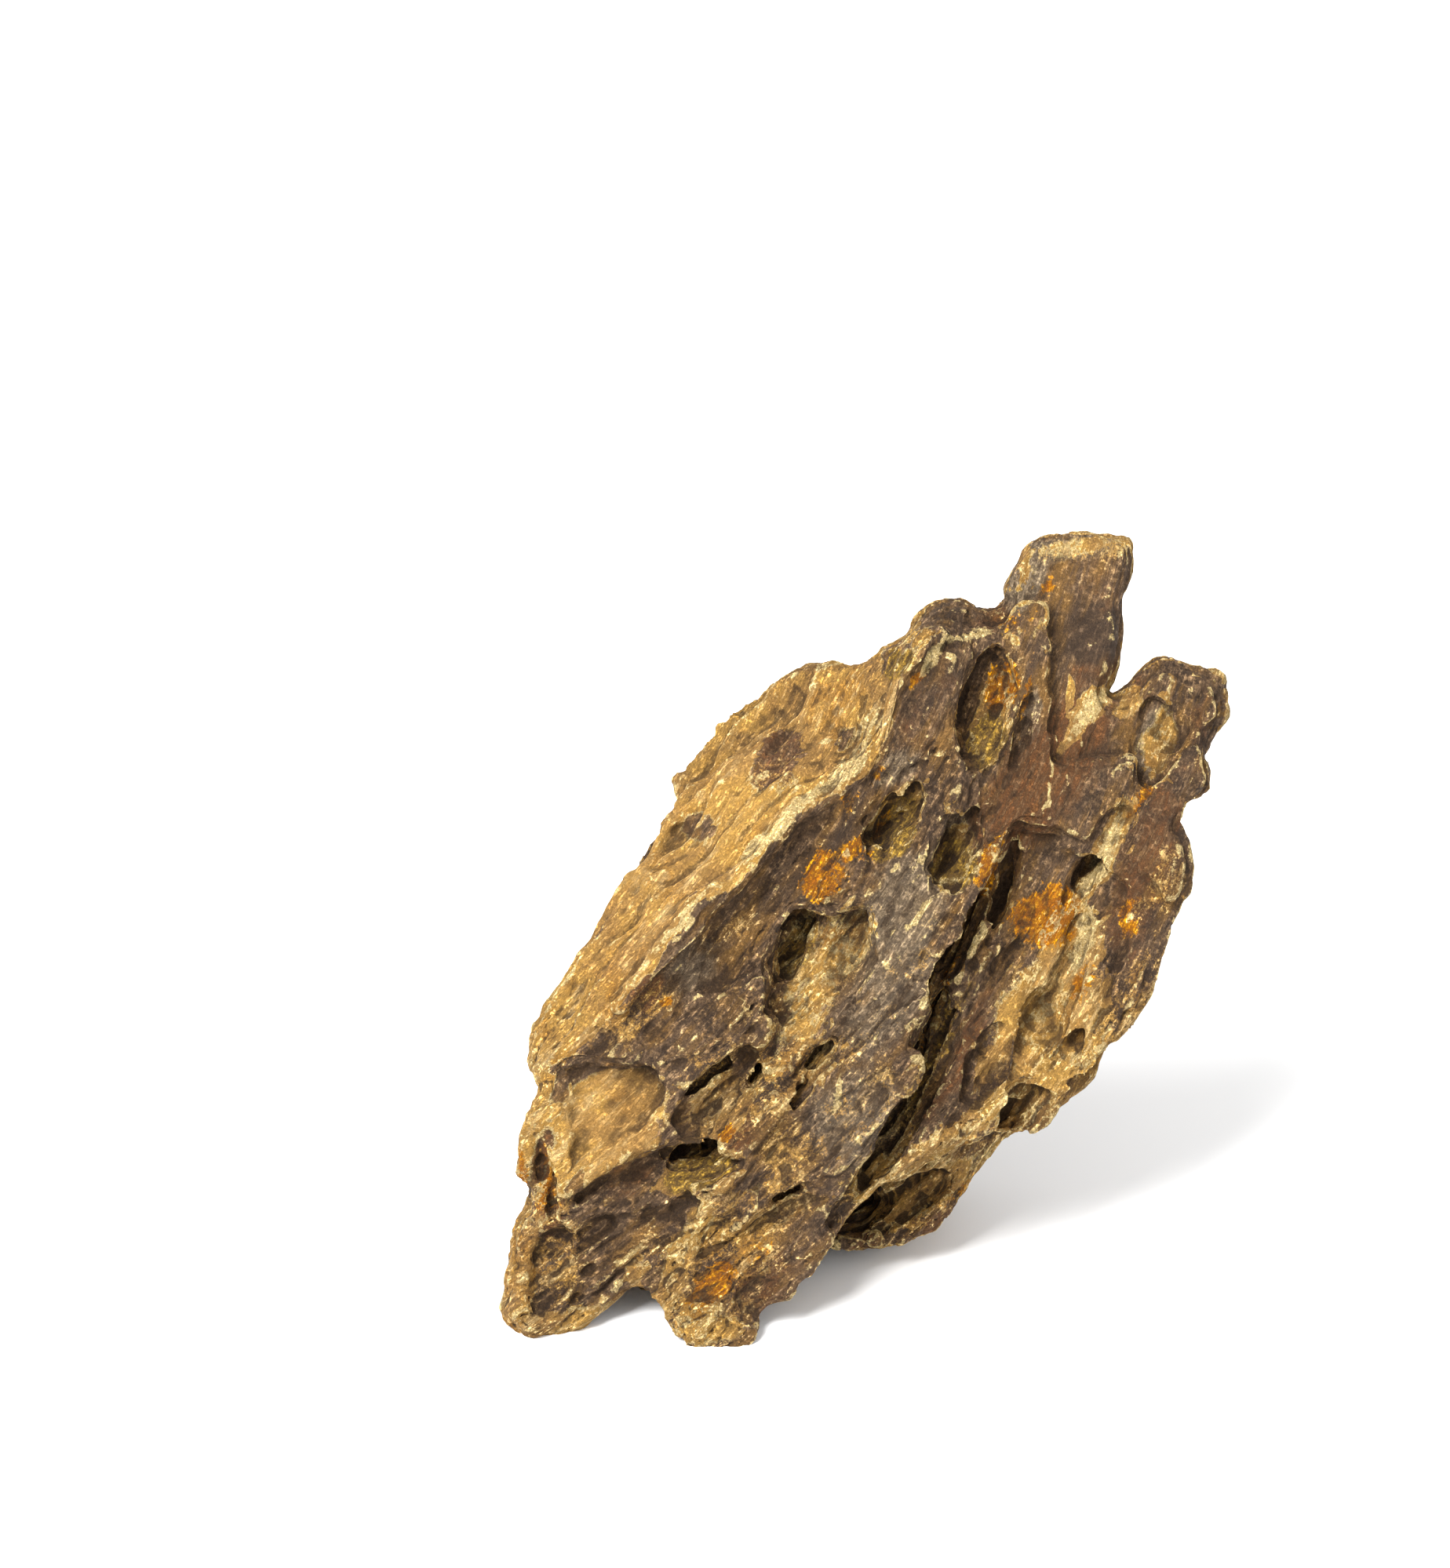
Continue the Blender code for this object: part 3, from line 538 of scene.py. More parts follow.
def faceToWorld():
    shiftX, shiftY = place["shift"]
    moved = Matrix.Translation((-shiftX * mm, -shiftY * mm, -place["sink"] * mm))
    return moved @ Matrix.Rotation(-math.radians(place["lean"]), 4, "X")


def standUp(stone):
    stone.data.transform(faceToWorld())
    group = newGroup("footCutters")
    bpy.ops.mesh.primitive_cube_add(size=0.6, location=(0, 0, -0.3))
    floorBlock = bpy.context.object
    (x, y), halfSizes = body["underHollow"]
    bpy.ops.mesh.primitive_uv_sphere_add(segments=48, ring_count=24, radius=1.0)
    hollow = bpy.context.object
    stretch = Matrix.Diagonal((*[half * mm for half in halfSizes], 1.0))
    shiftX, shiftY = place["shift"]
    hollow.data.transform(Matrix.Translation(((x - shiftX) * mm, (y - shiftY) * mm, 0)) @ stretch)
    moveInto(group, floorBlock)
    moveInto(group, hollow)
    cutWith(stone, group)


def countTriangles(mesh):
    mesh.calc_loop_triangles()
    return len(mesh.loop_triangles)


def thinOut(stone):
    count = countTriangles(stone.data)
    if count > body["triangles"]:
        applyModifier(stone, "DECIMATE", ratio=body["triangles"] / count)
    say(f"{count} triangles thinned to {countTriangles(stone.data)}")


def dropCrumbs(stone):
    # of the loose parts only the largest stays
    pick(stone)
    bpy.ops.object.mode_set(mode="EDIT")
    bpy.ops.mesh.select_all(action="SELECT")
    bpy.ops.mesh.separate(type="LOOSE")
    bpy.ops.object.mode_set(mode="OBJECT")
    parts = sorted(bpy.context.selected_objects, key=lambda part: len(part.data.polygons))
    for crumb in parts[:-1]:
        bpy.data.objects.remove(crumb, do_unlink=True)
    say(f"{len(parts) - 1} loose crumbs dropped")
    return parts[-1]


def buildStone():
    stone = outlineBlock()
    remesh(stone, body["firstGrain"])
    shapeBlock(stone)
    remesh(stone, body["fineGrain"])
    say("block shaped")
    layBedding(stone)
    remesh(stone, body["fineGrain"])
    say("bedding laid")
    carvePits(stone)
    remesh(stone, body["lastGrain"])
    factor, passes = body["smoothing"]
    applyModifier(stone, "SMOOTH", factor=factor, iterations=passes)
    say("pits carved")
    breakFlakes(stone)
    say("flakes broken")
    standUp(stone)
    stone = dropCrumbs(stone)
    stone.name = "dragonStone"
    thinOut(stone)
    pick(stone)
    bpy.ops.object.shade_smooth_by_angle(angle=math.radians(body["sharpFrom"]))
    return stone


# Colour zones of the face, laid where the camera sees them: centre, length, width, tilt, strength.
# What lies between them comes from the shape: crust on the flats, clay and cream where it broke.
zones = {
    "crust": [
        ((58, 182), 34, 20, 88, 1.25), ((60, 154), 17, 12, 70, 1.2), ((20, 172), 26, 14, 66, 1.15),
        ((76, 118), 50, 12, 72, 1.1), ((-40, 100), 22, 10, 44, 1.1), ((-22, 116), 30, 8, 44, 1.1),
        # painted shadow: the thin darkest band at (-64, 74) runs along the top rim of the
        # lower-left recess, under its step
        ((84, 156), 28, 7, 84, 1.1), ((-64, 74), 28, 5, 5, 1.3), ((-58, 44), 24, 12, 15, 1.0),
        ((-42, 134), 8, 7, 30, 0.75), ((8, 177), 12, 6, 40, 0.9), ((-22, 152.5), 20, 14, 60, 0.75),
        ((-10, 128), 50, 8, 46, 1.2), ((24, 188), 18, 9, 0, 1.1), ((27, 83), 40, 8, 68, 0.9),
        ((56, 78), 14, 7, 70, 0.9), ((22, 42), 22, 8, 40, 0.8), ((-4, 157), 8, 6, 60, 0.6),
        ((33, 92), 36, 8, 66, 0.95), ((-66, 108), 14, 5, 60, 0.5)],
    "clay": [
        ((-2, 104), 26, 9, 66, 0.72), ((-17, 103), 22, 8, 62, 0.6), ((12, 41), 28, 13, 35, 1.0),
        ((-65, 60), 29, 24, 40, 1.3), ((28, 59), 46, 6, 38, 1.2), ((56, 84), 24, 6, 55, 1.0),
        ((-35, 60), 22, 7, 50, 0.9), ((-77, 48), 22, 9, 70, 1.0), ((-84, 60), 22, 8, 80, 1.0),
        ((-12, 94), 46, 17, 66, 0.72), ((-38, 66), 24, 10, 42, 0.55), ((-42, 46), 18, 9, 20, 1.0),
        ((47, 76), 50, 17, 66, 0.72), ((61, 126), 32, 7, 62, 1.0), ((52, 104), 26, 16, 66, 0.8),
        ((45, 60), 42, 9, 42, 0.9), ((3, 43), 15, 11, 50, 0.8), ((-70, 7), 46, 10, 12, 1.0),
        ((-46, 25), 36, 8, 66, 1.0), ((-40, 6), 20, 7, 10, 0.9), ((-58, 22), 20, 6, 80, 0.6),
        ((-41, 10), 18, 12, 50, 0.6), ((75, 156), 20, 8, 84, 0.85), ((57, 163), 23, 5, 51, 1.3),
        ((53, 169.5), 14, 2.6, 86, 1.4), ((43, 199), 18, 8, 60, 0.5), ((-87, 18), 36, 7, 85, 0.95),
        ((33, 162), 26, 9, 76, 0.9), ((54, 205), 30, 7, 5, 0.6), ((40, 196), 18, 5, 62, 0.35),
        ((47, 64), 34, 14, 50, 1.05), ((37, 84), 40, 6, 64, 0.9), ((24, 46), 20, 8, 40, 0.7),
        ((9, 135), 20, 9, 60, 0.8), ((24, 127), 18, 10, 60, 0.55), ((-13, 72), 26, 7, 50, 0.6),
        ((36, 92), 30, 5, 66, 0.55), ((10, 50), 30, 3, 60, 0.5), ((42, 184), 18, 6, 20, 0.5),
        ((68, 166), 12, 5, 40, 0.6), ((-24, 22), 20, 4, 55, 0.5), ((30, 38), 26, 5, 38, 0.6),
        ((-30, 40), 16, 4, 30, 0.5)],
    # grey crust, partly a painted sheen of the dark crust
    "grey": [
        ((10, 112), 40, 22, 60, 0.95), ((6, 92), 44, 20, 60, 0.8), ((-44, 98), 20, 12, 45, 0.7),
        ((55, 79), 14, 8, 70, 1.0), ((24, 132), 12, 9, 60, 1.0), ((42, 160), 22, 4, 80, 1.2),
        ((42, 198), 22, 9, 62, 1.2), ((52, 205), 30, 8, 3, 1.0), ((57, 164), 22, 5, 51, 1.0),
        ((8, 149), 14, 8, 40, 0.9), ((74, 156), 20, 10, 80, 0.9), ((-82, 20), 26, 9, 85, 0.6),
        ((-2, 60), 34, 24, 50, 0.8), ((14, 44), 16, 9, 45, 0.6), ((60, 166), 14, 6, 45, 1.0),
        ((-20, 40), 30, 10, 40, 0.4)],
    "rust": [
        ((-22, 152), 22, 15, 60, 0.5), ((11, 36), 16, 8, 30, 0.7), ((46, 148), 64, 22, 55, 0.8),
        ((60, 190), 34, 14, 88, 0.2), ((72, 124), 54, 16, 72, 0.6), ((-55, 92), 12, 8, 60, 0.7),
        ((21, 33), 12, 7, 30, 1.2), ((-80, 43), 26, 6, 88, 1.4), ((-34, 57), 18, 12, 60, 0.8),
        ((0, 27), 10, 5, 20, 1.0), ((26, 78), 36, 6, 66, 0.7), ((-10, 96), 20, 7, 64, 0.7),
        ((-26, 18), 24, 14, 45, 0.6), ((34, 186), 12, 8, 20, 0.6), ((16, 165), 30, 12, 66, 0.4),
        ((-60, 44), 20, 10, 20, 0.5), ((86, 158), 24, 8, 84, 0.4)],
    "orange": [
        ((-9, 122), 16, 12, 40, 0.8), ((-4, 128), 12, 5, 60, 0.8), ((32, 125), 18, 6, 70, 0.85),
        ((35, 170), 15, 8, 82, 1.15), ((47, 112), 22, 15, 30, 0.95), ((52, 108), 10, 6, 60, 0.7),
        ((42, 170), 20, 2.5, 80, 0.65), ((68.5, 111), 12, 5, 78, 0.7), ((-35, 56), 6, 4, 60, 0.8),
        ((47, 195), 6, 4, 60, 0.9), ((39, 186), 14, 7, 30, 0.4), ((-49.5, 90), 4, 3, 40, 0.9),
        ((70, 140), 14, 3, 60, 0.7), ((-87, 46), 16, 4, 88, 0.9), ((-81, 44), 18, 3, 88, 1.0),
        ((-38, 17), 14, 8, 50, 0.7), ((3, 147), 8, 3, 60, 0.6), ((20, 92), 30, 3, 66, 0.6),
        ((28, 44), 24, 3, 36, 0.6), ((-18, 176), 14, 4, 20, 0.6), ((-3, 141), 10, 5, 60, 0.6),
        ((57, 95), 12, 6, 70, 0.7), ((-80, 40), 12, 4, 88, 0.7), ((14, 172), 10, 3, 55, 0.8),
        ((3, 130), 24, 4, 56, 0.55), ((-26, 26), 12, 6, 50, 0.5)],
    "olive": [
        ((-28, 136), 36, 6, 46, 0.5), ((8, 133), 20, 9, 60, 1.1), ((24, 124), 14, 11, 60, 1.1),
        ((31.5, 156), 14, 9, 64, 1.1), ((-42, 46), 18, 8, 20, 1.1), ((-16, 104), 20, 9, 66, 0.7),
        ((9, 176), 12, 7, 40, 0.9), ((18, 76), 60, 6, 63, 0.6), ((-4, 43), 14, 6, 30, 0.5),
        ((-38, 70), 18, 6, 40, 0.5)],
    "dusty": [
        ((-22, 152), 22, 15, 60, 0.6), ((-36, 126), 22, 12, 40, 0.5), ((-3, 104), 26, 9, 66, 0.7),
        ((-10, 50), 60, 34, 45, 0.6), ((50, 78), 60, 34, 62, 0.95), ((-38, 22), 44, 34, 60, 0.85),
        ((-80, 20), 44, 22, 85, 0.7), ((-20, 70), 44, 18, 30, 0.8), ((-30, 92), 34, 16, 45, 0.55),
        ((-62, 84), 34, 9, 35, 0.8), ((76, 118), 50, 14, 72, 0.45), ((10, 92), 40, 9, 62, 0.5),
        ((70, 90), 40, 20, 62, 0.8), ((57, 205), 26, 8, 0, 0.7), ((-40, 72), 24, 10, 42, 0.7),
        ((4, 66), 26, 18, 60, 0.5), ((22, 184), 20, 8, 20, 0.4), ((14, 40), 30, 14, 40, 0.8),
        ((-36, 60), 24, 14, 50, 0.8), ((6, 150), 20, 9, 50, 0.4), ((80, 158), 30, 16, 84, 0.4),
        ((-30, 112), 40, 8, 44, 0.4)],
    "cream": [
        ((12, 110.5), 18, 1.2, 40, 1.35), ((-6, 66), 12, 2.4, 70, 1.1),
        ((56, 105), 22, 6, 75, 0.95), ((61, 126), 28, 6, 63, 1.0), ((2, 160), 14, 8, 55, 0.75),
        ((-19, 136.5), 36, 4.5, 44, 1.15), ((-46, 110), 26, 2.6, 48, 0.95),
        ((-3, 150), 20, 5, 48, 1.0), ((57, 163), 22, 4.5, 51, 1.0), ((47, 144), 14, 1.2, 86, 1.5),
        ((76, 156), 16, 6, 82, 0.6), ((-46, 26), 30, 7, 68, 0.7), ((-40, 10), 16, 12, 40, 0.55),
        ((46, 74), 40, 12, 66, 0.55), ((40, 58), 38, 5, 42, 0.7), ((42, 96), 18, 8, 60, 0.6),
        ((6, 44), 12, 8, 50, 0.4), ((-78, 6), 26, 6, 10, 0.5), ((52, 90), 26, 4, 66, 0.6),
        ((18, 178), 16, 3, 60, 1.0), ((26, 183), 18, 2.5, 0, 1.0), ((-10, 74), 12, 5, 48, 0.5),
        ((57, 205), 20, 6, 5, 0.35), ((-7, 147), 24, 4, 45, 0.7), ((30, 60), 44, 4, 38, 0.7)],
}

paint = {
    "edgePasses": 4, "hollowPasses": 60,    # how far the shape is blurred to find edges and hollows
    "edgeFull": 0.42, "hollowFull": 2.4,    # mm off the blurred shape that count as full
    # how the zones' rims wander: size, reach, shift
    "wander": [(9.0, 2.0, 81.0), (3.0, 0.9, 87.0)],
    # mm below the face where a pit begins, how much deeper it is full, and where it ends
    "pitFrom": 2.0, "pitFull": 5.0, "pitEnd": 30.0,
    "facing": (1.6, 0.15),                  # how fast the face's colours end where it turns away
    "faceReach": (46.0, 16.0),              # mm behind the front where they end, and their fade
    "bandFade": 2.0,
    "faceCrust": 0.85,                      # crust of the face away from any zone
    "clayOverCrust": 0.75, "pitOverCrust": 0.3,
    "loose": (34.0, 15.0, 22.0, 1.3),       # patches of the sides and back: sizes, strength
    # what the sides and the back have of each before it varies
    "elsewhere": {"crust": 0.75, "clay": 0.05, "grey": 0.15, "rust": 0.15, "orange": -0.25,
                  "olive": -0.2, "dusty": 0.3, "cream": -0.1},
}


def blurred(points, edges, passes):
    first, second = edges.T
    count = len(points)
    share = np.bincount(first, minlength=count) + np.bincount(second, minlength=count)
    spread = points
    for _ in range(passes):
        total = np.stack([np.bincount(first, spread[second, axis], count)
                          + np.bincount(second, spread[first, axis], count)
                          for axis in range(3)], 1)
        spread = 0.5 * spread + 0.5 * total / np.maximum(share, 1)[:, None]
    return spread


def zoneShare(x, z, patches):
    total = np.zeros(x.shape)
    for (cx, cz), length, width, tilt, strength in patches:
        angle = math.radians(tilt)
        along = ((x - cx) * math.cos(angle) + (z - cz) * math.sin(angle)) / (length / 2)
        across = ((x - cx) * math.sin(angle) - (z - cz) * math.cos(angle)) / (width / 2)
        share = smoothStep(1.35 - 0.85 * np.sqrt(along**2 + across**2))
        total = np.maximum(total, strength * share)
    return total


def keepField(mesh, name, values):
    vector = values.ndim == 2
    kept = mesh.attributes.new(name, "FLOAT_VECTOR" if vector else "FLOAT", "POINT")
    kept.data.foreach_set("vector" if vector else "value", values.astype(np.float32).ravel())


def paintStone(stone):
    # what the material needs to know of the shape, kept at each point of the mesh
    mesh = stone.data
    toFace = np.array(faceToWorld().inverted())
    points, normals = readPoints(mesh), readPoints(mesh, "normal")
    points = (points @ toFace[:3, :3].T + toFace[:3, 3]) / mm
    normals = normals @ toFace[:3, :3].T
    edges = np.empty(len(mesh.edges) * 2, np.int32)
    mesh.edges.foreach_get("vertices", edges)
    edges = edges.reshape(-1, 2)
    fine = blurred(points, edges, paint["edgePasses"])
    broad = blurred(fine, edges, paint["hollowPasses"])
    edge = np.sum((points - fine) * normals, 1) / paint["edgeFull"]
    # hollow: how far a point lies below the broadly blurred shape; it feeds only painted shade
    hollow = np.sum((broad - points) * normals, 1) / paint["hollowFull"]
    x, y, z = points.T
    along, across = beddingAt(x, z)
    eyeX, eyeY, eyeZ = view["eye"]
    nearer = eyeY / (eyeY - y)
    seenX, seenZ = eyeX + (x - eyeX) * nearer, eyeZ + (z - eyeZ) * nearer
    for size, reach, shift in paint["wander"]:
        seenX = seenX + reach * noiseAt((x / size, y / size, z / size), shift)
        seenZ = seenZ + reach * noiseAt((x / size, y / size, z / size), shift + 9.0)
    level = frontDepth(x, z)
    inPit = smoothStep((y - level - paint["pitFrom"]) / paint["pitFull"])
    inPit = inPit * (y < level + paint["pitEnd"])
    (speed, turned), (reach, fade) = paint["facing"], paint["faceReach"]
    front = smoothStep(0.5 - speed * (normals[:, 1] + turned)) * smoothStep((reach - y) / fade)
    away, side = lineDistance(seenX, seenZ, face["shoulder"])
    band = smoothStep(0.5 + away * side / paint["bandFade"]) * front
    length, width, thickness, strength = paint["loose"]
    fields = {}
    for number, (name, patches) in enumerate(zones.items()):
        onFace = zoneShare(seenX, seenZ, patches)
        if name == "crust":
            onFace = np.maximum(onFace, paint["faceCrust"] * (1.0 - band))
        loose = noiseAt((along / length, across / width, y / thickness), 100.0 + 13.0 * number)
        elsewhere = np.clip(paint["elsewhere"][name] + strength * loose, 0.0, 1.0)
        fields[name] = elsewhere + (onFace - elsewhere) * front
    fields["crust"] -= paint["clayOverCrust"] * fields.pop("clay")
    fields["crust"] -= paint["pitOverCrust"] * inPit * front
    fields["calm"] = calmShare(x, y, z)
    fields["edge"] = np.clip(edge, -1.0, 1.0)
    fields["hollow"] = np.clip(hollow, -1.0, 1.0)
    fields["pit"] = inPit * front
    fields["grain"] = np.stack((along, across, y), 1)
    for name, values in fields.items():
        keepField(mesh, name, values)


class Wire:
    # one socket of a material; sums on it add Math nodes
    def __init__(self, tree, socket=None):
        self.tree, self.socket = tree, socket

    def node(self, kind, settings, inputs, out=0):
        made = self.tree.nodes.new("ShaderNode" + kind)
        for name, value in settings.items():
            setattr(made, name, value)
        for key, value in inputs.items():
            if isinstance(value, Wire):
                self.tree.links.new(value.socket, made.inputs[key])
            else:
                made.inputs[key].default_value = value
        return Wire(self.tree, made.outputs[out])

    def sum(self, operation, *values):
        return self.node("Math", {"operation": operation}, dict(enumerate(values)))

    def __add__(self, other): return self.sum("ADD", self, other)
    def __radd__(self, other): return self.sum("ADD", other, self)
    def __sub__(self, other): return self.sum("SUBTRACT", self, other)
    def __rsub__(self, other): return self.sum("SUBTRACT", other, self)
    def __mul__(self, other): return self.sum("MULTIPLY", self, other)
    def __rmul__(self, other): return self.sum("MULTIPLY", other, self)

    def size(self):
        return self.sum("ABSOLUTE", self)

    def most(self, other):
        return self.sum("MAXIMUM", self, other)

    def least(self, other):
        return self.sum("MINIMUM", self, other)

    def between(self, low, high):
        # 0 below low, 1 above high, and a smooth step between
        return self.node("MapRange", {"interpolation_type": "SMOOTHSTEP"},
                         {"Value": self, "From Min": low, "From Max": high})

    def field(self, name, out=2):
        return self.node("Attribute", {"attribute_name": name}, {}, out)

    def stretched(self, *factors):
        return self.node("VectorMath", {"operation": "MULTIPLY"}, {0: self, 1: factors})

    def noise(self, size, detail=3.0, rough=0.55, warp=0.0):
        return self.node("TexNoise", {"noise_dimensions": "3D"},
                         {"Vector": self, "Scale": 1.0 / size, "Detail": detail, "Roughness": rough,
                          "Distortion": warp})

    def cells(self, size):
        return self.node("TexVoronoi", {}, {"Vector": self, "Scale": 1.0 / size})

    def blend(self, first, second):
        # this value mixes two colours
        return self.node("Mix", {"data_type": "RGBA"}, {0: self, 6: first, 7: second}, 2)


tones = {
    "clay": (0.44, 0.250, 0.085, 1), "clayGold": (0.58, 0.335, 0.100, 1),
    "clayBrown": (0.21, 0.115, 0.045, 1), "clayPale": (0.68, 0.48, 0.23, 1),
    "clayWarm": (0.46, 0.215, 0.045, 1),
    "cream": (0.66, 0.46, 0.18, 1), "creamPale": (0.84, 0.66, 0.34, 1),
    "crustDark": (0.052, 0.032, 0.020, 1), "crust": (0.125, 0.077, 0.045, 1),
    "crustLight": (0.27, 0.17, 0.092, 1), "ochre": (0.30, 0.158, 0.046, 1),
    "grey": (0.130, 0.096, 0.064, 1), "greyLight": (0.32, 0.24, 0.152, 1),
    "rust": (0.185, 0.075, 0.027, 1), "rustBrown": (0.135, 0.070, 0.032, 1),
    "orange": (0.42, 0.142, 0.022, 1), "orangeGold": (0.72, 0.335, 0.040, 1),
    "olive": (0.48, 0.29, 0.055, 1), "oliveDark": (0.15, 0.090, 0.030, 1),
    # painted shade tones: they darken hollows, creases and pits where shade falls
    "paintedShadeBrown": (0.070, 0.038, 0.017, 1), "darkCreaseShade": (0.036, 0.020, 0.010, 1),
    "pitShade": (0.020, 0.012, 0.008, 1),
}

grains = {
    # size in mm, detail, roughness
    "wide": (18.0, 9.0, 0.62), "warm": (12.0, 9.0, 0.68), "stain": (9.0, 9.0, 0.7),
    "blotch": (6.0, 8.0, 0.68), "speck": (1.4, 6.0, 0.72), "dust": (0.5, 4.0, 0.7),
}

streaks = {
    # grain along the bedding, across it and in depth, then detail, roughness, warp
    "broad": ((0.035, 0.22, 0.2), 8.0, 0.66, 0.3),
    "fine": ((0.17, 1.0, 0.7), 6.0, 0.7, 0.25),
}

finish = {
    "crumb": 1.7,                               # mm
    "saturation": 1.07, "specular": 0.22,
    "roughness": 0.84, "crustShine": 0.26,      # how much smoother the crust is
    "bump": 0.0013,                             # metres
}


def stoneMaterial():
    material = bpy.data.materials.new("weathered claystone")
    material.use_nodes = True
    tree = material.node_tree
    shader = tree.nodes["Principled BSDF"]
    start = Wire(tree)
    place3d = start.node("TexCoord", {}, {}, 3).stretched(1000.0, 1000.0, 1000.0)   # in mm
    grain = start.field("grain", 1)
    crust, grey, rust, orange, olive, dusty, cream, edge, hollow, pit, calm = (
        start.field(name) for name in ("crust", "grey", "rust", "orange", "olive", "dusty", "cream",
                                       "edge", "hollow", "pit", "calm"))

    wide, warm, stain, blotch, speck, dust = (place3d.noise(*sizes) for sizes in grains.values())
    streak, streakFine = (grain.stretched(*stretch).noise(1.0, *sizes)
                          for stretch, *sizes in streaks.values())
    crumb = place3d.cells(finish["crumb"])
    wrinkle = (streakFine - 0.5).size().between(0.0, 0.06)
    crease = (speck - 0.5).size().between(0.0, 0.05)
    mottle = 0.5 * speck + 0.5 * streakFine

    # clay: tan to gold, browner and paler in streaks
    clay = wide.between(0.42, 0.58).blend(tones["clay"], tones["clayGold"])
    clay = (warm.between(0.5, 0.64) * (0.75 - 0.4 * calm)).blend(clay, tones["clayWarm"])
    brownShare = 0.85 - 0.6 * calm
    clay = ((0.6 * streak + 0.4 * wide).between(0.49, 0.40) * brownShare).blend(
        clay, tones["clayBrown"])
    paleShare = 0.8 - 0.62 * calm
    clay = ((0.5 * streakFine + 0.5 * streak).between(0.51, 0.60) * paleShare).blend(
        clay, tones["clayPale"])
    clay = ((0.5 * streak + 0.5 * blotch).between(0.51, 0.64) * 0.6).blend(clay, tones["clayPale"])
    clay = (mottle.between(0.46, 0.36) * brownShare).blend(clay, tones["clayBrown"])

    # dark crust: purple brown, rustier in zones, and greyer in zones where the grey is partly a
    # painted sheen
    shell = blotch.between(0.38, 0.56).blend(tones["crustDark"], tones["crust"])
    lightShare = 0.85 - 0.45 * crust.between(0.9, 1.2)
    shell = (mottle.between(0.47, 0.60) * lightShare).blend(shell, tones["crustLight"])
    shell = ((0.6 * streak + 0.4 * wide).between(0.46, 0.60) * 0.7).blend(shell, tones["ochre"])
    shell = (crust.between(0.9, 1.3) * 0.7).blend(shell, tones["crustDark"])
    # pale grey patches: grey crust, partly painted sheen standing in for the crust's reflection
    greyCrustAndSheen = mottle.between(0.42, 0.58).blend(tones["grey"], tones["greyLight"])
    shell = ((grey + 1.4 * blotch).between(1.0, 1.6) * 0.85).blend(shell, greyCrustAndSheen)
    rustTone = streakFine.between(0.42, 0.6).blend(tones["rust"], tones["rustBrown"])
    shell = ((rust + 0.8 * blotch + 0.9 * warm - 0.2).between(0.85, 1.4) * 0.85).blend(
        shell, rustTone)

    # where crust lies, its rim broken up at every size
    ragged = 0.8 * (wide - 0.5) + 0.9 * (blotch - 0.5)
    ragged = ragged + 0.6 * (streakFine - 0.5) + 0.4 * (speck - 0.5)
    crustHere = crust + ragged - 0.3 * edge.between(0.3, 0.9)
    shellHere = crustHere.between(0.42, 0.47)
    colour = shellHere.blend(clay, shell)

    # clay dust lies on the crust, thick in the dusty zones
    dusted = 0.45 * dusty + 0.6 * (speck - 0.5) + 0.6 * (dust - 0.5) + 0.4 * (streakFine - 0.5)
    dusted = dusted + 0.9 * (blotch - 0.5) + 0.8 * (wide - 0.5) + 0.4 * (streak - 0.5)
    colour = (dusted.between(0.26, 0.42) * 0.85).blend(colour, clay)

    # olive and gold inside the pits, orange stains
    oliveTone = mottle.between(0.42, 0.6).blend(tones["oliveDark"], tones["olive"])
    colour = ((olive + 0.9 * (blotch - 0.5) + 0.6 * (speck - 0.5)).between(0.45, 0.7) * 0.85).blend(
        colour, oliveTone)
    orangeTone = mottle.between(0.46, 0.62).blend(tones["orange"], tones["orangeGold"])
    orangeHere = orange + 1.8 * (stain - 0.5) + 1.6 * (speck - 0.5) + 0.5 * (streakFine - 0.5)
    orangeHere = orangeHere + 0.16 * dusty
    colour = (orangeHere.between(0.52, 0.74) * 0.92).blend(colour, orangeTone)

    # cream: zones, the broken rims of the crust, and flecks in clusters
    creamTone = dust.between(0.38, 0.6).blend(tones["cream"], tones["creamPale"])
    creamHere = (cream + 1.3 * (streakFine - 0.5) + 1.5 * (speck - 0.5)).between(0.62, 0.78) * 0.85
    outline = crustHere.between(0.33, 0.40) * (1 - crustHere.between(0.44, 0.50))
    outline = outline * (wide + 0.5 * speck).between(0.70, 0.82) * 0.9
    rimHere = (edge + 1.4 * (speck - 0.5) + 1.8 * (blotch - 0.5)).between(0.74, 0.98) * 0.85
    cluster = (0.6 * wide + 0.4 * blotch + 0.08 * dusty).between(0.52, 0.60)
    flecks = (speck + 0.9 * (streakFine - 0.5) + 0.3 * (dust - 0.5)).between(0.64, 0.68) * cluster
    flecks = flecks * (0.9 - 0.8 * calm)
    colour = creamHere.most(outline).most(rimHere).most(flecks).blend(colour, creamTone)

    # painted shade: brown in the hollows, dark lines in the concave creases, darker in the pits,
    # all where shade falls
    # painted shade in the hollows, as if by ambient occlusion
    colour = ((hollow + 0.5 * (blotch - 0.5)).between(0.1, 0.9) * 0.5).blend(
        colour, tones["paintedShadeBrown"])
    # painted shade: concave creases, where the edge field falls below zero, darkened as shadow
    # lines under flake edges
    creaseShadeShare = (0.6 * (speck - 0.5) - edge).between(0.18, 0.58) * (0.82 - 0.4 * calm)
    colour = creaseShadeShare.blend(colour, tones["darkCreaseShade"])
    # painted shade: deep in the pits the colour darkens
    colour = (pit.between(0.5, 1.0) * 0.2).blend(colour, tones["pitShade"])
    # fine dark lines along the bump's creases: partly grain colour, partly painted shade in those
    # creases
    colour = ((1 - crease.least(wrinkle)) * (0.42 - 0.25 * calm)).blend(
        colour, tones["paintedShadeBrown"])

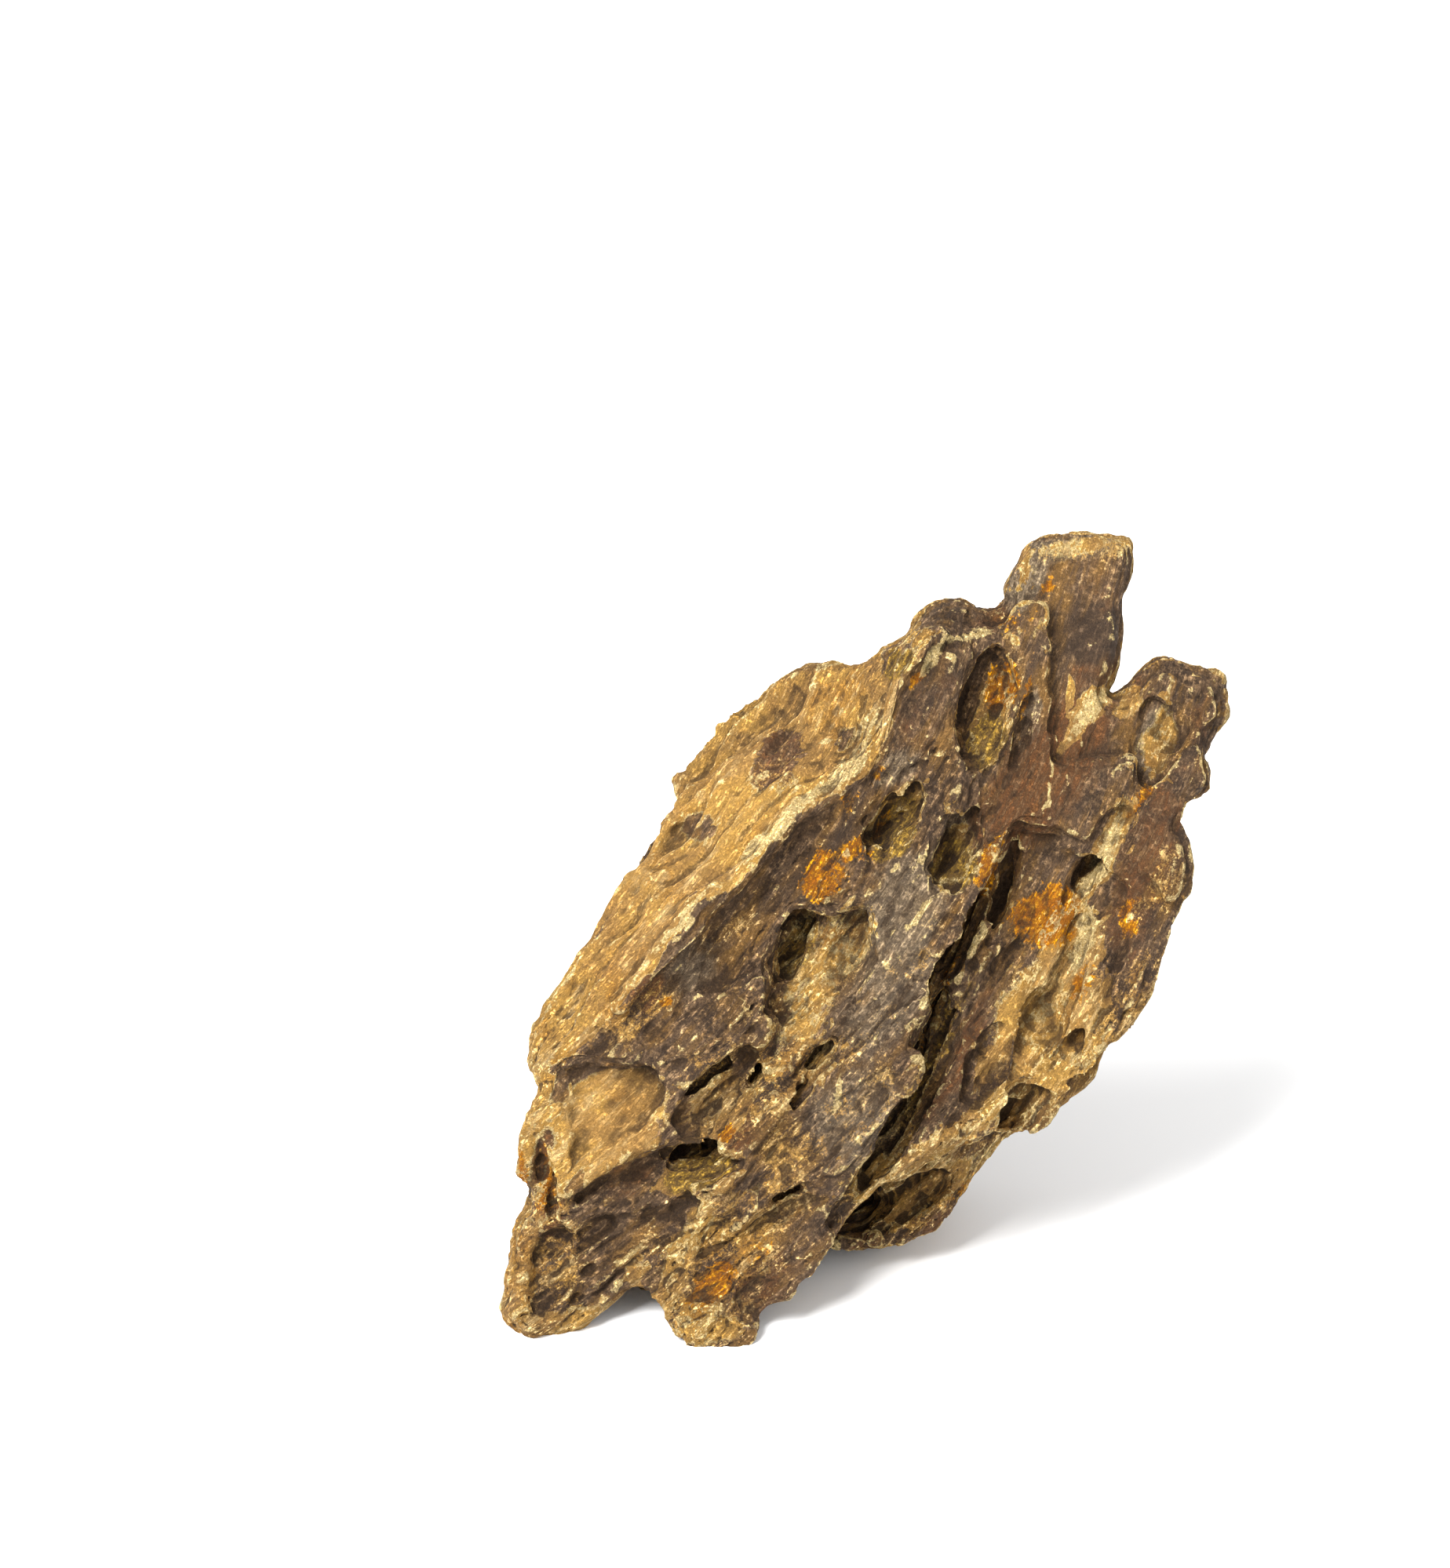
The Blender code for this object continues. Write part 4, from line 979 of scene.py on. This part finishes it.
    # grit: every patch is darker and paler again in grains
    grit = (0.4 * speck + 0.35 * dust + 0.25 * streakFine).between(0.40, 0.60)
    grit = 0.62 + grit * (0.85 - 0.25 * calm)
    colour = start.node("Mix", {"data_type": "RGBA", "blend_type": "MULTIPLY"},
                        {0: 1.0, 6: colour, 7: grit}, 2)
    colour = start.node("HueSaturation", {}, {"Saturation": finish["saturation"], "Color": colour})
    tree.links.new(colour.socket, shader.inputs["Base Color"])

    rough = finish["roughness"] - finish["crustShine"] * shellHere * speck.between(0.35, 0.65)
    tree.links.new(rough.socket, shader.inputs["Roughness"])
    shader.inputs["Metallic"].default_value = 0.0
    shader.inputs["Specular IOR Level"].default_value = finish["specular"]

    relief = 0.35 * wrinkle + 0.2 * crease + 0.6 * speck + 0.3 * dust + 0.15 * crumb
    relief = relief + 0.35 * crustHere.between(0.41, 0.49) + 0.3 * blotch + streakFine
    relief = relief * (1 - 0.55 * calm)
    bump = start.node("Bump", {}, {"Height": relief, "Strength": 1.0, "Distance": finish["bump"]})
    tree.links.new(bump.socket, shader.inputs["Normal"])
    return material


stage = {
    "floorSize": 14.0, "floorColour": (0.92, 0.92, 0.92, 1), "floorRoughness": 0.8,
    "roomColour": (1, 1, 1, 1), "roomLight": 1.0,
    # place, size, power
    "lamps": {"keyLight": ((-0.75, -0.62, 1.3), 0.8, 60), "fillLight": ((1.2, -0.9, 0.8), 1.0, 4)},
    "aim": (0, 0, 0.08),
}

view = {
    "eye": (-35.2, -800.0, 145.1),          # mm, in the face frame
    "frameHeight": 1999, "scale": 0.2,      # pixels, and mm to a pixel at the face
    "sensor": 36.0,
}


def setStage():
    bpy.ops.mesh.primitive_plane_add(size=stage["floorSize"])
    floor = bpy.context.object
    floor.name = "paleFloor"
    plain = bpy.data.materials.new("pale floor")
    plain.use_nodes = True
    shader = plain.node_tree.nodes["Principled BSDF"]
    shader.inputs["Base Color"].default_value = stage["floorColour"]
    shader.inputs["Roughness"].default_value = stage["floorRoughness"]
    floor.data.materials.append(plain)
    world = bpy.data.worlds.new("soft room")
    world.use_nodes = True
    bpy.context.scene.world = world
    background = world.node_tree.nodes["Background"]
    background.inputs["Color"].default_value = stage["roomColour"]
    background.inputs["Strength"].default_value = stage["roomLight"]
    for name, (spot, size, power) in stage["lamps"].items():
        lamp = bpy.data.lights.new(name, "AREA")
        lamp.size, lamp.energy = size, power
        thing = bpy.data.objects.new(name, lamp)
        bpy.context.collection.objects.link(thing)
        thing.location = spot
        aim = Vector(stage["aim"]) - Vector(spot)
        thing.rotation_euler = aim.to_track_quat("-Z", "Y").to_euler()


def setCamera():
    data = bpy.data.cameras.new("camera")
    x, y, z = view["eye"]
    data.lens = view["sensor"] * -y / (view["frameHeight"] * view["scale"])
    camera = bpy.data.objects.new("camera", data)
    bpy.context.collection.objects.link(camera)
    inFace = Matrix.Translation((x * mm, y * mm, z * mm))
    camera.matrix_world = faceToWorld() @ inFace @ Matrix.Rotation(math.pi / 2, 4, "X")
    bpy.context.scene.camera = camera


stone = buildStone()
stone.data.materials.clear()
stone.data.materials.append(stoneMaterial())
paintStone(stone)
say("stone painted")
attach(stone, "root")
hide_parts("dragon_stone")
setStage()
setCamera()
bpy.context.scene.view_settings.view_transform = "Standard"
say("stage set")
